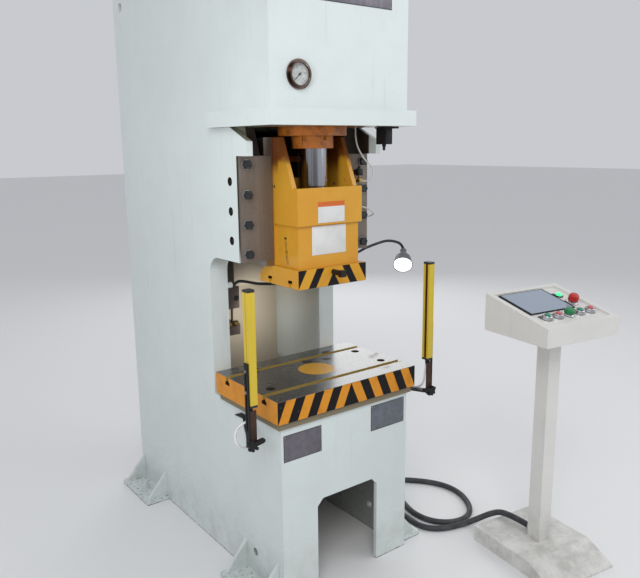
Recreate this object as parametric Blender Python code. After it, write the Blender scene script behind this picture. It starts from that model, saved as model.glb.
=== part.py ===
"""Single-column hydraulic press with its safety light curtains, work lamp and control console.

Units are metres and +Z is up. Sizes are stated in the press's own design frame: X = 0 on the
ram's axis with +X to the operator's right, Y = 0 on the front face of the lower frame with +Y
towards the back, and Z = 0 on the floor. Everything hangs on one datum empty, which puts the
model's origin on the floor under the middle of the box round press and console.
"""
import math

import bmesh
import bpy
from mathutils import Matrix, Vector

# Clearance between touching pieces
GAP = 0.0003
RUNNING_GAP = 0.0008
WELD_OVERLAP = 0.002

# Where the model's origin lies in the design frame
ORIGIN_X = 0.22755
ORIGIN_Y = 0.31717

# Roundness
FINE_SIDES = 40
ROUND_SIDES = 28
SMALL_SIDES = 16
WASHER_SIDES = 20
HOLE_SIDES = 12

# Frame
FRAME_WIDTH = 0.600
FRAME_DEPTH = 1.253
SIDE_THICKNESS = 0.022
FRONT_THICKNESS = 0.016
HEAD_SETBACK = 0.020
HEAD_TOP_THICKNESS = 0.012
BASE_HEIGHT = 0.671
HEAD_HEIGHT = 0.700
DOOR_WIDTH = 0.290
DOOR_HEIGHT = 0.354
DOOR_CHAMFER = 0.026
LIFTING_HOLE_RADIUS = 0.019
LIFTING_HOLE_FROM_BACK = 0.075
LIFTING_HOLE_FROM_TOP = 0.229
FOOT_HOLE_RADIUS = 0.016
FOOT_HOLE_Y = 0.194
FOOT_HOLE_Z = 0.108

# Throat and jaw of the side plates
THROAT_BACK = 0.464
THROAT_RADIUS = 0.065
FLANGE_WIDTH = 0.076
FLANGE_THICKNESS = 0.016
JAW_HEIGHT = 0.473
JAW_FRONT = 0.165
JAW_LIP_BELOW_SHELF = 0.050
JAW_CHAMFER_BACK = 0.277
CHEEK_DEPTH = 0.118
CHEEK_INNER_X = 0.200

# Cylinder plate
CYLINDER_PLATE_WIDTH = 0.638
CYLINDER_PLATE_FRONT = -0.011
CYLINDER_PLATE_DEPTH = 0.415
CYLINDER_PLATE_THICKNESS = 0.055

# Ram and cylinder
RAM_Y = 0.200
STROKE = 0.280
ROD_RADIUS = 0.054
PISTON_RADIUS = 0.0795
PISTON_HEIGHT = 0.060
CYLINDER_BORE_RADIUS = 0.080
CYLINDER_RADIUS = 0.100
CYLINDER_RISE = 0.565
CYLINDER_END_THICKNESS = 0.050
CYLINDER_SHOULDER_RADIUS = 0.122
CYLINDER_SHOULDER_HEIGHT = 0.040
LOCK_RING_RADIUS = 0.125
LOCK_RING_HEIGHT = 0.031
GLAND_RADIUS = 0.0765
GLAND_HEIGHT = 0.044
GLAND_NOTCH_WIDTH = 0.016
GLAND_NOTCH_DEPTH = 0.008
GLAND_NOTCH_COUNT = 6
PISTON_TOP_CLEARANCE = 0.020

# Slide
SLIDE_BAND_WIDTH = 0.293
SLIDE_BAND_FRONT = 0.094
SLIDE_BAND_HEIGHT = 0.130
SLIDE_BAND_WALL = 0.020
SLIDE_BLOCK_WIDTH = 0.276
SLIDE_BLOCK_HEIGHT = 0.1557
SLIDE_BLOCK_FRONT = 0.1056
SLIDE_BACK = 0.333
SLIDE_WING_THICKNESS = 0.018
SLIDE_WING_RISE = 0.1765
SLIDE_WING_SLOPE_FRONT = 0.124
SLIDE_WING_SLOPE_BACK = 0.197
SLIDE_BACK_PLATE_RISE = 0.027
SLIDE_BRIDGE_RISE = 0.087
SLIDE_BRIDGE_THICKNESS = 0.021
SLIDE_BRIDGE_FRONT = 0.285
WING_HOLE_RADIUS = 0.0055
WING_HOLE_Y = 0.172
WING_HOLE_RISE = 0.017
TONGUE_OUTER_X = 0.185
TONGUE_DEPTH = 0.058
SLIDE_TOP_CLEARANCE = 0.0355

# Slide plate with its T-slots and shank bore
SLIDE_PLATE_WIDTH = 0.312
SLIDE_PLATE_FRONT = 0.081
DAYLIGHT = 0.348
SLIDE_PLATE_THICKNESS = 0.069
SLIDE_PLATE_REAR_SLOPE = 0.040
SLIDE_SLOT_SPACING = 0.130
SLIDE_SLOT_WIDTH = 0.014
SLIDE_SLOT_NECK = 0.016
SLIDE_SLOT_HEAD_WIDTH = 0.026
SLIDE_SLOT_HEAD_HEIGHT = 0.012
SHANK_RADIUS = 0.025
SHANK_BOLT_RADIUS = 0.010
SHANK_BOLT_STANDOUT = 0.060
SHANK_BOLT_HEAD_WIDTH = 0.024
SHANK_BOLT_HEAD_LENGTH = 0.018
SHANK_BOLT_HEIGHT = 0.050

# Gibs
GIB_HEIGHT = 0.374
GIB_FRONT = 0.2317
GIB_THICKNESS = 0.010
GIB_INNER_X = 0.161
GIB_OUTER_X = 0.293
GIB_BOLT_X = 0.266
GIB_BOLT_LOW = 0.029
GIB_BOLT_STEP = 0.1053
GIB_BOLT_COUNT = 4
GIB_WASHER_RADIUS = 0.0185
GIB_WASHER_THICKNESS = 0.003
GIB_BOLT_ACROSS_FLATS = 0.030
GIB_BOLT_HEAD_HEIGHT = 0.0125
ADJUSTER_Y = 0.288
ADJUSTER_LOW = 0.075
ADJUSTER_STEP = 0.1053
ADJUSTER_COUNT = 3
ADJUSTER_RADIUS = 0.010
ADJUSTER_HOLE_RADIUS = 0.016
ADJUSTER_INSET = 0.008
SIDE_GIB_LEG_THICKNESS = 0.040
SIDE_GIB_INNER_X = 0.150

# Bolster and bed plate
BOLSTER_WIDTH = 0.648
BOLSTER_FRONT = -0.020
BOLSTER_DEPTH = 0.426
BOLSTER_THICKNESS = 0.0834
BED_PLATE_THICKNESS = 0.025
BED_PLATE_INSET = 0.010
BOLSTER_SLOT_SPACING = 0.254
BOLSTER_SLOT_WIDTH = 0.018
BOLSTER_SLOT_NECK = 0.018
BOLSTER_SLOT_HEAD_WIDTH = 0.032
BOLSTER_SLOT_HEAD_HEIGHT = 0.014
PLUG_RADIUS = 0.071
PLUG_THICKNESS = 0.025
DROP_HOLE_RADIUS = 0.058
BOLSTER_BOLT_SPACING_X = 0.530
BOLSTER_BOLT_SPACING_Y = 0.160
BOLSTER_BOLT_RADIUS = 0.014
BOLSTER_COUNTERBORE_RADIUS = 0.017
BOLSTER_COUNTERBORE_DEPTH = 0.022
BOLSTER_BOLT_HEAD_HEIGHT = 0.016
BOLSTER_BOLT_SOCKET_RADIUS = 0.007
BOLSTER_BOLT_SOCKET_DEPTH = 0.008

# Feet
FOOT_REACH = 0.107
FOOT_THICKNESS = 0.020
FRONT_FOOT_START = 0.020
FRONT_FOOT_LENGTH = 0.264
REAR_FOOT_LENGTH = 0.289
GUSSET_THICKNESS = 0.016
GUSSET_TOP = 0.132
GUSSET_INSET = 0.014
ANCHOR_RADIUS = 0.010
ANCHOR_HEIGHT = 0.030
ANCHOR_WASHER_RADIUS = 0.020
ANCHOR_WASHER_THICKNESS = 0.004
ANCHOR_NUT_RADIUS = 0.017
ANCHOR_NUT_HEIGHT = 0.016

# Rear cover
COVER_THICKNESS = 0.004
COVER_BOTTOM = 0.120
COVER_TOP_MARGIN = 0.060
COVER_LIP = 0.020
COVER_SLOT_COUNT = 7
COVER_SLOT_LENGTH = 0.260
COVER_SLOT_HEIGHT = 0.012
COVER_SLOT_PITCH = 0.034
COVER_SLOT_LOW = 0.640

# Hydraulic unit inside the column
TANK_LEFT = -0.030
TANK_DEPTH = 0.430
TANK_COVER_CLEARANCE = 0.049
TANK_BELOW_JAW = 0.202
TANK_HEIGHT = 0.560
TANK_STAND_THICKNESS = 0.008
TANK_STAND_SETBACK = 0.132
TANK_STAND_BOTTOM = 0.300
MOTOR_RADIUS = 0.085
MOTOR_LENGTH = 0.270
MOTOR_COVER_CLEARANCE = 0.159
MOTOR_X = 0.020
MOTOR_FOOT_HEIGHT = 0.070
PUMP_RADIUS = 0.045
PUMP_LENGTH = 0.120
MANIFOLD_LEFT_GAP = 0.018
MANIFOLD_WIDTH = 0.165
MANIFOLD_BEHIND_THROAT = 0.136
MANIFOLD_DEPTH = 0.120
MANIFOLD_BELOW_JAW = 0.166
MANIFOLD_HEIGHT = 0.092
MANIFOLD_PORT_RADIUS = 0.009
MANIFOLD_PIN_RADIUS = 0.005
MANIFOLD_PIN_LENGTH = 0.068
MANIFOLD_PIN_INSET = 0.024
MANIFOLD_FOOT_HEIGHT = 0.046
SUPPLY_PIPE_RADIUS = 0.011
PIPE_BEND_RADIUS = 0.050

# Pressure gauge
GAUGE_X = -0.187
GAUGE_ABOVE_SHELF = 0.105
GAUGE_RADIUS = 0.048
GAUGE_DIAL_RADIUS = 0.036
GAUGE_STANDOUT = 0.016
GAUGE_RIM_THICKNESS = 0.005
GAUGE_BODY_DEPTH = 0.030
GAUGE_DIAL_DEPTH = 0.010
NEEDLE_LENGTH = 0.028
NEEDLE_TAIL = 0.008
NEEDLE_WIDTH = 0.003
NEEDLE_THICKNESS = 0.001
NEEDLE_HUB_RADIUS = 0.004
NEEDLE_REST_DEGREES = 225.0
GLASS_THICKNESS = 0.002

# Light curtains
CURTAIN_X = 0.4135
CURTAIN_Y = 0.000
CURTAIN_WIDTH = 0.027
CURTAIN_DEPTH = 0.032
CURTAIN_ABOVE_BOLSTER = 0.003
CURTAIN_HEIGHT = 0.397
CURTAIN_CAP_HEIGHT = 0.008
CURTAIN_WINDOW_WIDTH = 0.014
CURTAIN_WINDOW_DEPTH = 0.004
CURTAIN_GROOVE_WIDTH = 0.005
CURTAIN_GROOVE_DEPTH = 0.003
BAR_THICKNESS = 0.006
BAR_WIDTH = 0.022
BAR_BELOW_BASE_TOP = 0.031
BAR_LENGTH = 0.296
BAR_SLOT_WIDTH = 0.007
BAR_SLOT_LOW = 0.060
BAR_SLOT_LENGTH = 0.205
ARM_THICKNESS = 0.006
ARM_HEIGHT = 0.030
ARM_FOOT_LENGTH = 0.055
KNOB_RADIUS = 0.016
KNOB_HUB_RADIUS = 0.009
KNOB_LOBE_RADIUS = 0.0075
KNOB_LOBES = 3
KNOB_THICKNESS = 0.012
KNOB_STUD_RADIUS = 0.004
KNOB_STUD_END = 0.006

# Work lamp
LAMP_ARM_RADIUS = 0.006
LAMP_SOCKET_RADIUS = 0.012
LAMP_SOCKET_LENGTH = 0.020
LAMP_SHADE_RADIUS = 0.042
LAMP_NECK_RADIUS = 0.014
LAMP_SHADE_LENGTH = 0.096
LAMP_SHADE_WALL = 0.0025
LAMP_LENS_INSET = 0.010
LAMP_LENS_BULGE = 0.016
LAMP_TILT_DEGREES = 58.0
LAMP_AIM_DEGREES = 45.0
LAMP_SOCKET_Y = 0.472
LAMP_END_X = 0.564
LAMP_END_Y = 0.300
LAMP_END_BELOW_JAW = 0.046
LAMP_SOCKET_BELOW_JAW = 0.126
LAMP_SAG_BELOW_JAW = 0.140
LAMP_ARCH_HEIGHT = 0.050

# Travel switch under the head and lubrication tubes
SWITCH_LEFT = 0.232
SWITCH_WIDTH = 0.068
SWITCH_FRONT = 0.060
SWITCH_DEPTH = 0.060
SWITCH_HEIGHT = 0.070
SWITCH_KNOB_RADIUS = 0.009
SWITCH_KNOB_LENGTH = 0.016
LUBE_TUBE_RADIUS = 0.003
LUBE_TUBE_X = 0.217
LUBE_TUBE_Y = 0.214
LUBE_UPPER_BELOW_PLATE = 0.202
LUBE_UPPER_INSET = 0.070
LUBE_UPPER_LOOP = 0.057
LUBE_LOWER_BELOW_PLATE = 0.303
LUBE_LOWER_INSET = 0.054
LUBE_LOWER_DROP = 0.047
LUBE_LOWER_LOOP = 0.018
LUBE_LOWER_Y = 0.270

# Control console, stated about the column's centre and turned about Z
CONSOLE_X = 0.697
CONSOLE_Y = -0.3675
CONSOLE_TURN_DEGREES = -7.7
COLUMN_WIDTH = 0.061
COLUMN_TOP = 0.924
CONSOLE_BASE_WIDTH = 0.332
CONSOLE_BASE_BACK = 0.193
CONSOLE_BASE_BEND = 0.108
CONSOLE_BASE_FRONT = 0.231
CONSOLE_BASE_HEIGHT = 0.064
CONSOLE_BASE_LIP = 0.010
CONSOLE_HEAD_WIDTH = 0.374
CONSOLE_HEAD_DEPTH = 0.313
CONSOLE_HEAD_FRONT_HEIGHT = 0.0706
CONSOLE_HEAD_REAR_HEIGHT = 0.1437
PANEL_RIM = 0.022
PANEL_RECESS = 0.008
SCREEN_WIDTH = 0.232
SCREEN_LENGTH = 0.172
SCREEN_X = -0.032
SCREEN_Y = 0.207
SCREEN_THICKNESS = 0.005
BUTTON_ROW_Y = 0.082
BUTTON_FIRST_X = -0.106
BUTTON_PITCH = 0.0565
BUTTON_RADIUS = 0.0105
BUTTON_HEIGHT = 0.010
BUTTON_TRAVEL = 0.004
MUSHROOM_RADIUS = 0.019
MUSHROOM_HEIGHT = 0.017
COLLAR_RADIUS = 0.0150
COLLAR_HEIGHT = 0.006
BUTTON_STEM_RADIUS = 0.006
BUTTON_STEM_DEPTH = 0.010
STOP_X = 0.113
STOP_Y = 0.160
STOP_RADIUS = 0.020
STOP_HEIGHT = 0.026
STOP_TRAVEL = 0.006
PILOT_X = 0.111
PILOT_Y = 0.228
PILOT_RADIUS = 0.0125
PILOT_HEIGHT = 0.012

# Conduit from the press to the console
CONDUIT_RADIUS = 0.0125
CONDUIT_POINTS = 78
GLAND_Y = 0.850
GLAND_Z = 0.120
GLAND_LENGTH = 0.036
GLAND_NUT_RADIUS = 0.021
SLEEVE_Z = 0.086
SLEEVE_LENGTH = 0.036
SLEEVE_RADIUS = 0.0165

# Worked out from the sizes above
HALF_FRAME = FRAME_WIDTH / 2
PLATE_INNER_X = HALF_FRAME - SIDE_THICKNESS
# Heights follow each other from the floor up: base, bolster, daylight, slide, cylinder plate, head
BOLSTER_BOTTOM = BASE_HEIGHT + GAP + BED_PLATE_THICKNESS + GAP
BOLSTER_TOP = BOLSTER_BOTTOM + BOLSTER_THICKNESS
SLIDE_PLATE_BOTTOM = BOLSTER_TOP + DAYLIGHT
SLIDE_PLATE_TOP = SLIDE_PLATE_BOTTOM + SLIDE_PLATE_THICKNESS
SLIDE_BLOCK_BOTTOM = SLIDE_PLATE_TOP + GAP
SLIDE_BAND_BOTTOM = SLIDE_BLOCK_BOTTOM + SLIDE_BLOCK_HEIGHT
SLIDE_BAND_TOP = SLIDE_BAND_BOTTOM + SLIDE_BAND_HEIGHT
SLIDE_WING_TOP = SLIDE_BAND_TOP + SLIDE_WING_RISE
SLIDE_BACK_PLATE_TOP = SLIDE_BAND_TOP + SLIDE_BACK_PLATE_RISE
SLIDE_BRIDGE_BOTTOM = SLIDE_BAND_TOP + SLIDE_BRIDGE_RISE
WING_HOLE_Z = SLIDE_BAND_TOP + WING_HOLE_RISE
CYLINDER_PLATE_BOTTOM = SLIDE_WING_TOP + SLIDE_TOP_CLEARANCE
CYLINDER_PLATE_TOP = CYLINDER_PLATE_BOTTOM + CYLINDER_PLATE_THICKNESS
CYLINDER_TOP = CYLINDER_PLATE_BOTTOM + CYLINDER_RISE
FRAME_HEIGHT = CYLINDER_PLATE_TOP + HEAD_HEIGHT
JAW_BOTTOM = CYLINDER_PLATE_BOTTOM - JAW_HEIGHT
JAW_LIP_TOP = CYLINDER_PLATE_BOTTOM - JAW_LIP_BELOW_SHELF
GIB_BOTTOM = JAW_BOTTOM + GAP
GAUGE_Z = CYLINDER_PLATE_TOP + GAUGE_ABOVE_SHELF
LIFTING_HOLE_Y = FRAME_DEPTH - LIFTING_HOLE_FROM_BACK
LIFTING_HOLE_Z = FRAME_HEIGHT - LIFTING_HOLE_FROM_TOP
CYLINDER_PLATE_BACK = CYLINDER_PLATE_FRONT + CYLINDER_PLATE_DEPTH
GIB_TOP = GIB_BOTTOM + GIB_HEIGHT
GIB_SEAT = GIB_FRONT + GIB_THICKNESS + GAP
CHEEK_BACK = GIB_SEAT + CHEEK_DEPTH
TONGUE_FRONT = GIB_FRONT + GIB_THICKNESS + GAP
TONGUE_BACK = TONGUE_FRONT + TONGUE_DEPTH
BOLSTER_BACK = BOLSTER_FRONT + BOLSTER_DEPTH
BOLSTER_Y = BOLSTER_FRONT + BOLSTER_DEPTH / 2
COVER_FRONT = FRAME_DEPTH - COVER_LIP - COVER_THICKNESS
TANK_BACK = COVER_FRONT - TANK_COVER_CLEARANCE
TANK_FRONT = TANK_BACK - TANK_DEPTH
TANK_BOTTOM = JAW_BOTTOM - TANK_BELOW_JAW
MOTOR_Y = COVER_FRONT - MOTOR_COVER_CLEARANCE - MOTOR_LENGTH
MANIFOLD_FRONT = THROAT_BACK + MANIFOLD_BEHIND_THROAT
MANIFOLD_TOP = JAW_BOTTOM - MANIFOLD_BELOW_JAW
BAR_BOTTOM = BASE_HEIGHT - BAR_BELOW_BASE_TOP
BAR_TOP = BAR_BOTTOM + BAR_LENGTH
BAR_SLOT_BOTTOM = BAR_BOTTOM + BAR_SLOT_LOW
BAR_SLOT_TOP = BAR_SLOT_BOTTOM + BAR_SLOT_LENGTH
CURTAIN_BOTTOM = BOLSTER_TOP + CURTAIN_ABOVE_BOLSTER
CONSOLE_TURN = math.radians(CONSOLE_TURN_DEGREES)
CONSOLE_PLACE = Matrix.Translation((CONSOLE_X, CONSOLE_Y, 0.0)) @ Matrix.Rotation(CONSOLE_TURN, 4, "Z")
PANEL_SLOPE = math.atan2(CONSOLE_HEAD_REAR_HEIGHT - CONSOLE_HEAD_FRONT_HEIGHT, CONSOLE_HEAD_DEPTH)
PANEL_LENGTH = math.hypot(CONSOLE_HEAD_REAR_HEIGHT - CONSOLE_HEAD_FRONT_HEIGHT, CONSOLE_HEAD_DEPTH)
HEAD_BOTTOM = COLUMN_TOP + GAP
# The panel's own frame: X across, Y up the slope from the head's front edge, Z out of the panel
PANEL_PLACE = (
    CONSOLE_PLACE
    @ Matrix.Translation((0.0, -CONSOLE_HEAD_DEPTH / 2, HEAD_BOTTOM + CONSOLE_HEAD_FRONT_HEIGHT))
    @ Matrix.Rotation(PANEL_SLOPE, 4, "X")
)

AXIS_TURN = {
    "X": Matrix.Rotation(math.radians(90.0), 4, "Y"),
    "Y": Matrix.Rotation(math.radians(-90.0), 4, "X"),
    "Z": Matrix.Identity(4),
}
PIECES = {}


def clear_scene():
    """Start from an empty file without closing it."""
    for item in list(bpy.data.objects):
        bpy.data.objects.remove(item, do_unlink=True)


def material(name, colour, roughness, metallic=0.0):
    """One plain Principled material."""
    finish = bpy.data.materials.new(name)
    finish.use_nodes = True
    shader = finish.node_tree.nodes["Principled BSDF"]
    shader.inputs["Base Color"].default_value = (*colour, 1.0)
    shader.inputs["Roughness"].default_value = roughness
    shader.inputs["Metallic"].default_value = metallic
    return finish


def arc(centre_a, centre_b, radius, start, end, steps):
    """Points on a round stretch of an outline, both ends included."""
    points = []
    for index in range(steps + 1):
        angle = math.radians(start + (end - start) * index / steps)
        points.append((centre_a + radius * math.cos(angle), centre_b + radius * math.sin(angle)))
    return points


def finished(shape):
    """Turn every face of a closed shape outwards."""
    bmesh.ops.recalc_face_normals(shape, faces=shape.faces)
    return shape


def block(low, high):
    """A plain block between two corners."""
    shape = bmesh.new()
    bmesh.ops.create_cube(shape, size=1.0)
    size = [abs(high[k] - low[k]) for k in range(3)]
    middle = [(high[k] + low[k]) / 2 for k in range(3)]
    bmesh.ops.scale(shape, vec=size, verts=shape.verts)
    bmesh.ops.translate(shape, vec=middle, verts=shape.verts)
    return finished(shape)


def prism(outline, axis, start, end):
    """Extrude an outline along an axis. It is (y, z) for X, (x, z) for Y and (x, y) for Z."""
    shape = bmesh.new()
    corners = []
    for first, second in outline:
        if axis == "X":
            corners.append(shape.verts.new((start, first, second)))
        elif axis == "Y":
            corners.append(shape.verts.new((first, start, second)))
        else:
            corners.append(shape.verts.new((first, second, start)))
    face = shape.faces.new(corners)
    grown = bmesh.ops.extrude_face_region(shape, geom=[face])
    moved = [item for item in grown["geom"] if isinstance(item, bmesh.types.BMVert)]
    step = [0.0, 0.0, 0.0]
    step["XYZ".index(axis)] = end - start
    bmesh.ops.translate(shape, vec=step, verts=moved)
    return finished(shape)


def turned(profile, centre, axis, sides=ROUND_SIDES):
    """Turn a closed profile of (radius, height) about an axis through a point."""
    shape = bmesh.new()
    corners = [shape.verts.new((radius, 0.0, height)) for radius, height in profile]
    edges = []
    for index, corner in enumerate(corners):
        edges.append(shape.edges.new((corner, corners[(index + 1) % len(corners)])))
    bmesh.ops.spin(shape, geom=corners + edges, axis=(0, 0, 1), cent=(0, 0, 0), steps=sides, angle=math.tau)
    bmesh.ops.remove_doubles(shape, verts=shape.verts, dist=1e-6)
    bmesh.ops.dissolve_degenerate(shape, edges=shape.edges, dist=1e-7)
    for face in shape.faces:
        face.smooth = True
    bmesh.ops.transform(shape, matrix=Matrix.Translation(centre) @ AXIS_TURN[axis], verts=shape.verts)
    return finished(shape)


def rod(centre, radius, start, end, axis, sides=SMALL_SIDES):
    """A round bar from start to end along an axis, through a point."""
    return turned([(0.0, start), (radius, start), (radius, end), (0.0, end)], centre, axis, sides)


def hexagon(centre, across_flats, start, end, axis):
    """A hexagonal bar, such as a bolt's head."""
    shape = prism(arc(0.0, 0.0, across_flats / math.sqrt(3.0), 0.0, 300.0, 5), "Z", start, end)
    bmesh.ops.transform(shape, matrix=Matrix.Translation(centre) @ AXIS_TURN[axis], verts=shape.verts)
    return shape


def gathered(shapes):
    """Put several shapes in one mesh, as the operand of one Boolean."""
    whole = bmesh.new()
    for shape in shapes:
        copy = bpy.data.meshes.new("copy")
        shape.to_mesh(copy)
        whole.from_mesh(copy)
        shape.free()
        bpy.data.meshes.remove(copy)
    return whole


def placed(shape, matrix):
    """Move a shape by a matrix."""
    bmesh.ops.transform(shape, matrix=matrix, verts=shape.verts)
    return shape


def piece(name, shape, finish, pivot=(0.0, 0.0, 0.0)):
    """One named sub-part, whose origin is the pivot of its own joint where it moves."""
    bmesh.ops.translate(shape, vec=-Vector(pivot), verts=shape.verts)
    mesh = bpy.data.meshes.new(name)
    shape.to_mesh(mesh)
    shape.free()
    mesh.materials.append(finish)
    mesh.set_sharp_from_angle(angle=math.radians(35.0))
    item = bpy.data.objects.new(name, mesh)
    bpy.context.collection.objects.link(item)
    item.parent = PIECES["datum"]
    item.location = pivot
    PIECES[name] = item
    return item


def combine(item, shape, operation):
    """Cut a shape out of a piece, or weld it on, by an exact Boolean."""
    pivot = item.location.copy()
    bmesh.ops.translate(shape, vec=-pivot, verts=shape.verts)
    mesh = bpy.data.meshes.new(item.name + "_operand")
    shape.to_mesh(mesh)
    shape.free()
    operand = bpy.data.objects.new(item.name + "_operand", mesh)
    bpy.context.collection.objects.link(operand)
    operand.parent = PIECES["datum"]
    operand.location = pivot
    operand.hide_render = True
    operand.display_type = "WIRE"
    change = item.modifiers.new(operation.lower(), "BOOLEAN")
    change.object = operand
    change.operation = operation
    change.solver = "EXACT"
    return item


def cut(item, shapes):
    """Remove shapes that don't overlap each other."""
    return combine(item, gathered(shapes), "DIFFERENCE")


def weld(item, shape):
    """Join one shape to a piece."""
    return combine(item, shape, "UNION")


def smooth_route(points, count):
    """Evenly spaced points on a smooth curve through a route, with a straight lead at each end."""
    knots = [Vector(point) for point in points]
    dense = []
    per_span = 24
    for index in range(1, len(knots) - 2):
        before, here, there, after = knots[index - 1 : index + 3]
        slope_here = (there - before) / 2
        slope_there = (after - here) / 2
        for step in range(per_span):
            t = step / per_span
            square = t * t
            cube = square * t
            dense.append(
                here * (2 * cube - 3 * square + 1)
                + slope_here * (cube - 2 * square + t)
                + there * (3 * square - 2 * cube)
                + slope_there * (cube - square)
            )
    dense.append(knots[-2])
    lengths = [0.0]
    for first, second in zip(dense, dense[1:]):
        lengths.append(lengths[-1] + (second - first).length)
    route = [knots[0]]
    place = 0
    between = count - 2
    for index in range(between):
        target = lengths[-1] * index / (between - 1)
        while place < len(lengths) - 2 and lengths[place + 1] < target:
            place += 1
        span = lengths[place + 1] - lengths[place]
        share = (target - lengths[place]) / span
        route.append(dense[place].lerp(dense[place + 1], share))
    route.append(knots[-1])
    return route


def tube(name, points, radius, finish, count, resolution=2):
    """A solid tube along a smooth route, as a bevelled curve with filled ends."""
    curve = bpy.data.curves.new(name, "CURVE")
    curve.dimensions = "3D"
    curve.bevel_depth = radius
    curve.bevel_resolution = resolution
    curve.use_fill_caps = True
    spline = curve.splines.new("POLY")
    spline.points.add(count - 1)
    # A tube that lies on the floor never dips into it
    for point, place in zip(spline.points, smooth_route(points, count)):
        point.co = (place.x, place.y, max(place.z, radius), 1.0)
    curve.materials.append(finish)
    item = bpy.data.objects.new(name, curve)
    bpy.context.collection.objects.link(item)
    item.parent = PIECES["datum"]
    PIECES[name] = item
    return item


def make_datum():
    """The empty that carries the whole model."""
    datum = bpy.data.objects.new("datum", None)
    bpy.context.collection.objects.link(datum)
    datum.location = (-ORIGIN_X, -ORIGIN_Y, 0.0)
    PIECES["datum"] = datum


def side_outline():
    """Outline of a side plate: base, C-shaped throat, jaw and head, in (y, z)."""
    base_front = FRONT_THICKNESS + GAP
    head_front = HEAD_SETBACK + FRONT_THICKNESS + GAP
    shelf_top = CYLINDER_PLATE_TOP + GAP
    shelf_bottom = CYLINDER_PLATE_BOTTOM - GAP
    corner_y = THROAT_BACK - THROAT_RADIUS
    corner_z = JAW_BOTTOM - THROAT_RADIUS
    return [
        (base_front, 0.0),
        (FRAME_DEPTH, 0.0),
        (FRAME_DEPTH, FRAME_HEIGHT - HEAD_TOP_THICKNESS - GAP),
        (head_front, FRAME_HEIGHT - HEAD_TOP_THICKNESS - GAP),
        (head_front, shelf_top),
        (CYLINDER_PLATE_BACK + GAP, shelf_top),
        (CYLINDER_PLATE_BACK + GAP, shelf_bottom),
        (JAW_CHAMFER_BACK, shelf_bottom),
        (JAW_FRONT, JAW_LIP_TOP),
        (JAW_FRONT, GIB_TOP + GAP),
        (GIB_SEAT, GIB_TOP + GAP),
        (GIB_SEAT, JAW_BOTTOM),
        *reversed(arc(corner_y, corner_z, THROAT_RADIUS, 0.0, 90.0, 8)),
        (THROAT_BACK, BASE_HEIGHT),
        (base_front, BASE_HEIGHT),
    ]


def flange_outline():
    """Outline of the strip welded inside the throat's edge, in (y, z)."""
    corner_y = THROAT_BACK - THROAT_RADIUS
    corner_z = JAW_BOTTOM - THROAT_RADIUS
    front_end = CHEEK_BACK - WELD_OVERLAP
    return [
        (THROAT_BACK, BASE_HEIGHT),
        *arc(corner_y, corner_z, THROAT_RADIUS, 0.0, 90.0, 8),
        (front_end, JAW_BOTTOM),
        (front_end, JAW_BOTTOM + FLANGE_THICKNESS),
        *reversed(arc(corner_y, corner_z, THROAT_RADIUS + FLANGE_THICKNESS, 0.0, 90.0, 8)),
        (THROAT_BACK + FLANGE_THICKNESS, BASE_HEIGHT),
    ]


def adjuster_heights():
    """Heights of the gib's adjusting screws."""
    return [GIB_BOTTOM + ADJUSTER_LOW + ADJUSTER_STEP * index for index in range(ADJUSTER_COUNT)]


def gib_bolt_heights():
    """Heights of the gib's front bolts."""
    return [GIB_BOTTOM + GIB_BOLT_LOW + GIB_BOLT_STEP * index for index in range(GIB_BOLT_COUNT)]


def make_side_plate(name, side, finish):
    """A side plate with its throat flange and gib seat welded on, and its holes."""
    plate = piece(name, prism(side_outline(), "X", side * HALF_FRAME, side * PLATE_INNER_X), finish)
    weld_x = PLATE_INNER_X + WELD_OVERLAP
    flange_x = HALF_FRAME - FLANGE_WIDTH
    weld(plate, prism(flange_outline(), "X", side * weld_x, side * flange_x))
    cheek_top = CYLINDER_PLATE_BOTTOM - GAP
    cheek = [
        (GIB_SEAT, JAW_BOTTOM),
        (CHEEK_BACK, JAW_BOTTOM),
        (CHEEK_BACK, cheek_top),
        (JAW_CHAMFER_BACK, cheek_top),
        (GIB_SEAT, GIB_TOP + GAP),
    ]
    weld(plate, prism(cheek, "X", side * weld_x, side * CHEEK_INNER_X))
    if side < 0:
        start = lamp_route()[0]
        span = (-flange_x - WELD_OVERLAP, start[0] - GAP)
        weld(plate, rod((0.0, start[1], start[2]), LAMP_SOCKET_RADIUS, *span, "X"))
    holes = []
    for height in adjuster_heights():
        centre = (0.0, ADJUSTER_Y, height)
        wide = (side * (HALF_FRAME + WELD_OVERLAP), side * PLATE_INNER_X)
        narrow = ADJUSTER_RADIUS + GAP
        profile = [
            (0.0, wide[0]),
            (ADJUSTER_HOLE_RADIUS, wide[0]),
            (ADJUSTER_HOLE_RADIUS, wide[1]),
            (narrow, wide[1]),
            (narrow, side * (CHEEK_INNER_X - WELD_OVERLAP)),
            (0.0, side * (CHEEK_INNER_X - WELD_OVERLAP)),
        ]
        holes.append(turned(profile, centre, "X", HOLE_SIDES))
    through = (side * (HALF_FRAME + WELD_OVERLAP), side * (PLATE_INNER_X - WELD_OVERLAP))
    holes.append(rod((0.0, FOOT_HOLE_Y, FOOT_HOLE_Z), FOOT_HOLE_RADIUS, *through, "X", HOLE_SIDES))
    holes.append(rod((0.0, LIFTING_HOLE_Y, LIFTING_HOLE_Z), LIFTING_HOLE_RADIUS, *through, "X", HOLE_SIDES))
    if side > 0:
        gland_hole = CONDUIT_RADIUS + GAP
        holes.append(rod((0.0, GLAND_Y, GLAND_Z), gland_hole, *through, "X", SMALL_SIDES))
    cut(plate, holes)


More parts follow.
